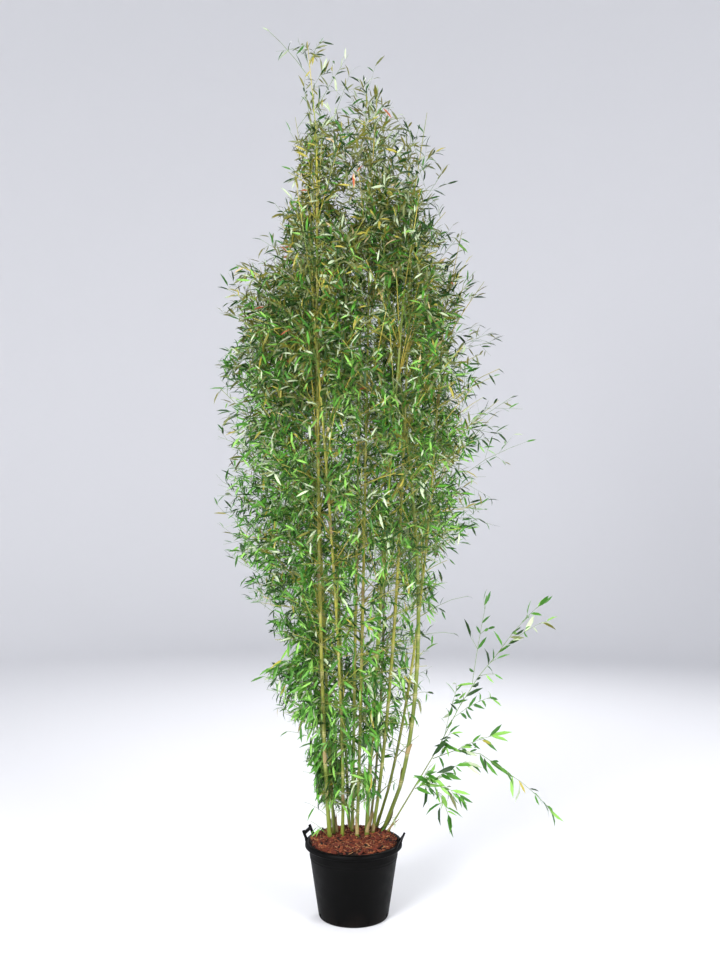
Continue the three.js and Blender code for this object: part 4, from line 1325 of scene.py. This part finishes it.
class BAMBOO_OT_foliage(bpy.types.Operator):
    """Grows the branches, twigs, sprigs and leaves on from the canes"""
    bl_idname = "bamboo.grow_foliage"
    bl_label = "Grow the foliage"

    def execute(self, context):
        settings = context.scene.bamboo_foliage
        random = np.random.default_rng(41)
        masses = sorted(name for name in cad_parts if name.startswith("foliage"))
        modelled, leafy = grow_limbs(random)
        golden = make_material("golden_twig", cane_skin, settings.twig, settings.low_twig, settings.twig)
        young = make_material("young_twig", leaf_blade, settings.young_twig, 0.5)
        for name, limbs in modelled.items():
            thick, thin, sides = LIMB_SIZES[name]
            radii = np.tile(np.linspace(thick, thin, limbs.routes.shape[1]), (len(limbs.routes), 1))
            piece = mesh_piece(f"bamboo_{name}", *tube_arrays(limbs.routes, radii, sides))
            add_to_object(piece, "foliage", golden if name in ("stems", "branches") else young, *masses)
        blades, parts = [], []
        for limbs, count, free in leafy:
            points, owners = leaf_out(limbs, count, settings.leaf_length, random, free)
            blades.append(points)
            parts.append(owners + (parts[-1].max() + 1 if parts else 0))
        self.deal_colours(np.vstack(blades), np.concatenate(parts), random, masses)
        return {"FINISHED"}

    def deal_colours(self, blades, parts, random, masses):
        """Most leaves of a sprig share a colour. It is drawn by how high the sprig stands."""
        levels = blades[:, 0, 2]
        # These weights make the high crown darker: partly the leaves' own olive tone, partly painted
        # shade.
        weights = np.stack([np.interp(levels, LEAF_LEVELS, row[-1]) for row in LEAF_COLOURS], axis=1)
        bounds = np.cumsum(weights / weights.sum(axis=1, keepdims=True), axis=1)
        draw = random.uniform(0, 1, parts.max() + 1)[parts]
        alone = random.uniform(0, 1, len(parts)) < ODD_COLOURED
        draw[alone] = random.uniform(0, 1, alone.sum())
        kind = (draw[:, None] > bounds).sum(axis=1).clip(0, len(LEAF_COLOURS) - 1)
        faces = leaf_faces()
        most = MOST_TRIANGLES // len(faces)
        for index, (name, code, roughness, _) in enumerate(LEAF_COLOURS):
            chosen = blades[kind == index]
            finish = make_material(f"{name}_leaf", leaf_blade, linear(code), roughness)
            for part, first in enumerate(range(0, len(chosen), most)):
                some = chosen[first:first + most]
                piece = mesh_piece(f"leaves_{name}_{part + 1}", some.reshape(-1, 3),
                                   repeated(faces, len(some), LEAF_VERTICES))
                add_to_object(piece, "foliage", finish, *masses)


class BAMBOO_OT_studio(bpy.types.Operator):
    """Sets up the pale studio: a floor that sweeps up all round, soft lights and the camera"""
    bl_idname = "bamboo.make_studio"
    bl_label = "Make the studio"

    def execute(self, context):
        settings = context.scene.bamboo_studio
        self.raise_sweep(settings.floor)
        self.add_lights(context.scene, settings)
        self.add_camera(context.scene)
        return {"FINISHED"}

    def raise_sweep(self, paper):
        """A round floor whose border curves up into a wall."""
        floor, curve, steps = SWEEP["floor"], SWEEP["curve"], SWEEP["steps"]
        select_only()
        bpy.ops.mesh.primitive_circle_add(vertices=SWEEP["sides"], radius=floor, fill_type="NGON",
                                          location=(0, 0, 0))
        sweep = bpy.context.object
        edit_all("EDGE")
        radius, height = floor, 0
        for step in range(1, steps + 1):
            turn = step / steps * math.pi / 2
            wider, higher = floor + curve * math.sin(turn), curve * (1 - math.cos(turn))
            bpy.ops.mesh.extrude_edges_move(TRANSFORM_OT_translate={"value": (0, 0, higher - height)})
            widen(wider / radius, higher)
            radius, height = wider, higher
        bpy.ops.mesh.extrude_edges_move(TRANSFORM_OT_translate={"value": (0, 0, SWEEP["wall"])})
        end_edit(inside=True)
        settle(sweep, "studio_sweep", 40)
        sweep.data.materials.append(make_material("studio_paper", studio_paper, paper))

    def add_lights(self, scene, settings):
        """A broad key from the left front, a broad fill from the right and a soft room light."""
        lights = [("key", (-3.2, -5.2, 3.2), 3.0, settings.key_power),
                  ("fill", (4.2, -3.4, 2.8), 3.2, settings.fill_power),
                  ("back", (1.5, 5.5, 5.0), 3.0, settings.fill_power * 0.7)]
        for name, place, size, watts in lights:
            bpy.ops.object.light_add(type="AREA", location=place)
            light = bpy.context.object
            light.name = f"{name}_light"
            light.data.shape = "DISK"
            light.data.size = size
            light.data.energy = watts
            aim = vec(*LIT) - vec(*place)
            light.rotation_euler = (math.atan2(math.hypot(aim[0], aim[1]), -aim[2]), 0,
                                    math.atan2(aim[1], aim[0]) - math.pi / 2)
        world = bpy.data.worlds.new("room_light")
        world.use_nodes = True
        world.node_tree.nodes.clear()
        add = partial(add_node, world.node_tree)
        add("OutputWorld", {"Surface": add("Background", ROOM)["Background"]})
        scene.world = world
        scene.view_settings.view_transform = "Standard"

    def add_camera(self, scene):
        level = math.pi / 2
        bpy.ops.object.camera_add(location=CAMERA["place"],
                                  rotation=(level + math.radians(CAMERA["tilt"]), 0, 0))
        camera = bpy.context.object
        for key in ("lens", "sensor_width", "clip_end"):
            setattr(camera.data, key, CAMERA[key])
        scene.camera = camera


class BAMBOO_PT_panel(bpy.types.Panel):
    """Lists the pieces and their sizes and colours"""
    bl_idname = "BAMBOO_PT_panel"
    bl_label = "Potted bamboo"
    bl_space_type = "VIEW_3D"
    bl_region_type = "UI"
    bl_category = "Bamboo"

    def draw(self, context):
        for step in STEPS:
            self.layout.operator(step.bl_idname)
        for group in GROUPS:
            settings = getattr(context.scene, group)
            self.layout.label(text=group.replace("_", " ").title())
            for name in settings.__annotations__:
                self.layout.prop(settings, name)


STEPS = (BAMBOO_OT_pot, BAMBOO_OT_grips, BAMBOO_OT_bark, BAMBOO_OT_canes, BAMBOO_OT_sheaths,
         BAMBOO_OT_foliage, BAMBOO_OT_studio)
GROUPS = {"bamboo_pot": PotSettings, "bamboo_bark": BarkSettings, "bamboo_canes": CaneSettings,
          "bamboo_foliage": FoliageSettings, "bamboo_studio": StudioSettings}


def register():
    for kind in (*GROUPS.values(), *STEPS, BAMBOO_PT_panel):
        bpy.utils.register_class(kind)
    for name, group in GROUPS.items():
        setattr(bpy.types.Scene, name, PointerProperty(type=group))


def unregister():
    for name in GROUPS:
        delattr(bpy.types.Scene, name)
    for kind in reversed((*GROUPS.values(), *STEPS, BAMBOO_PT_panel)):
        bpy.utils.unregister_class(kind)


def main():
    register()
    for step in STEPS:
        family, name = step.bl_idname.split(".")
        getattr(getattr(bpy.ops, family), name)()


if __name__ == "__main__":
    main()
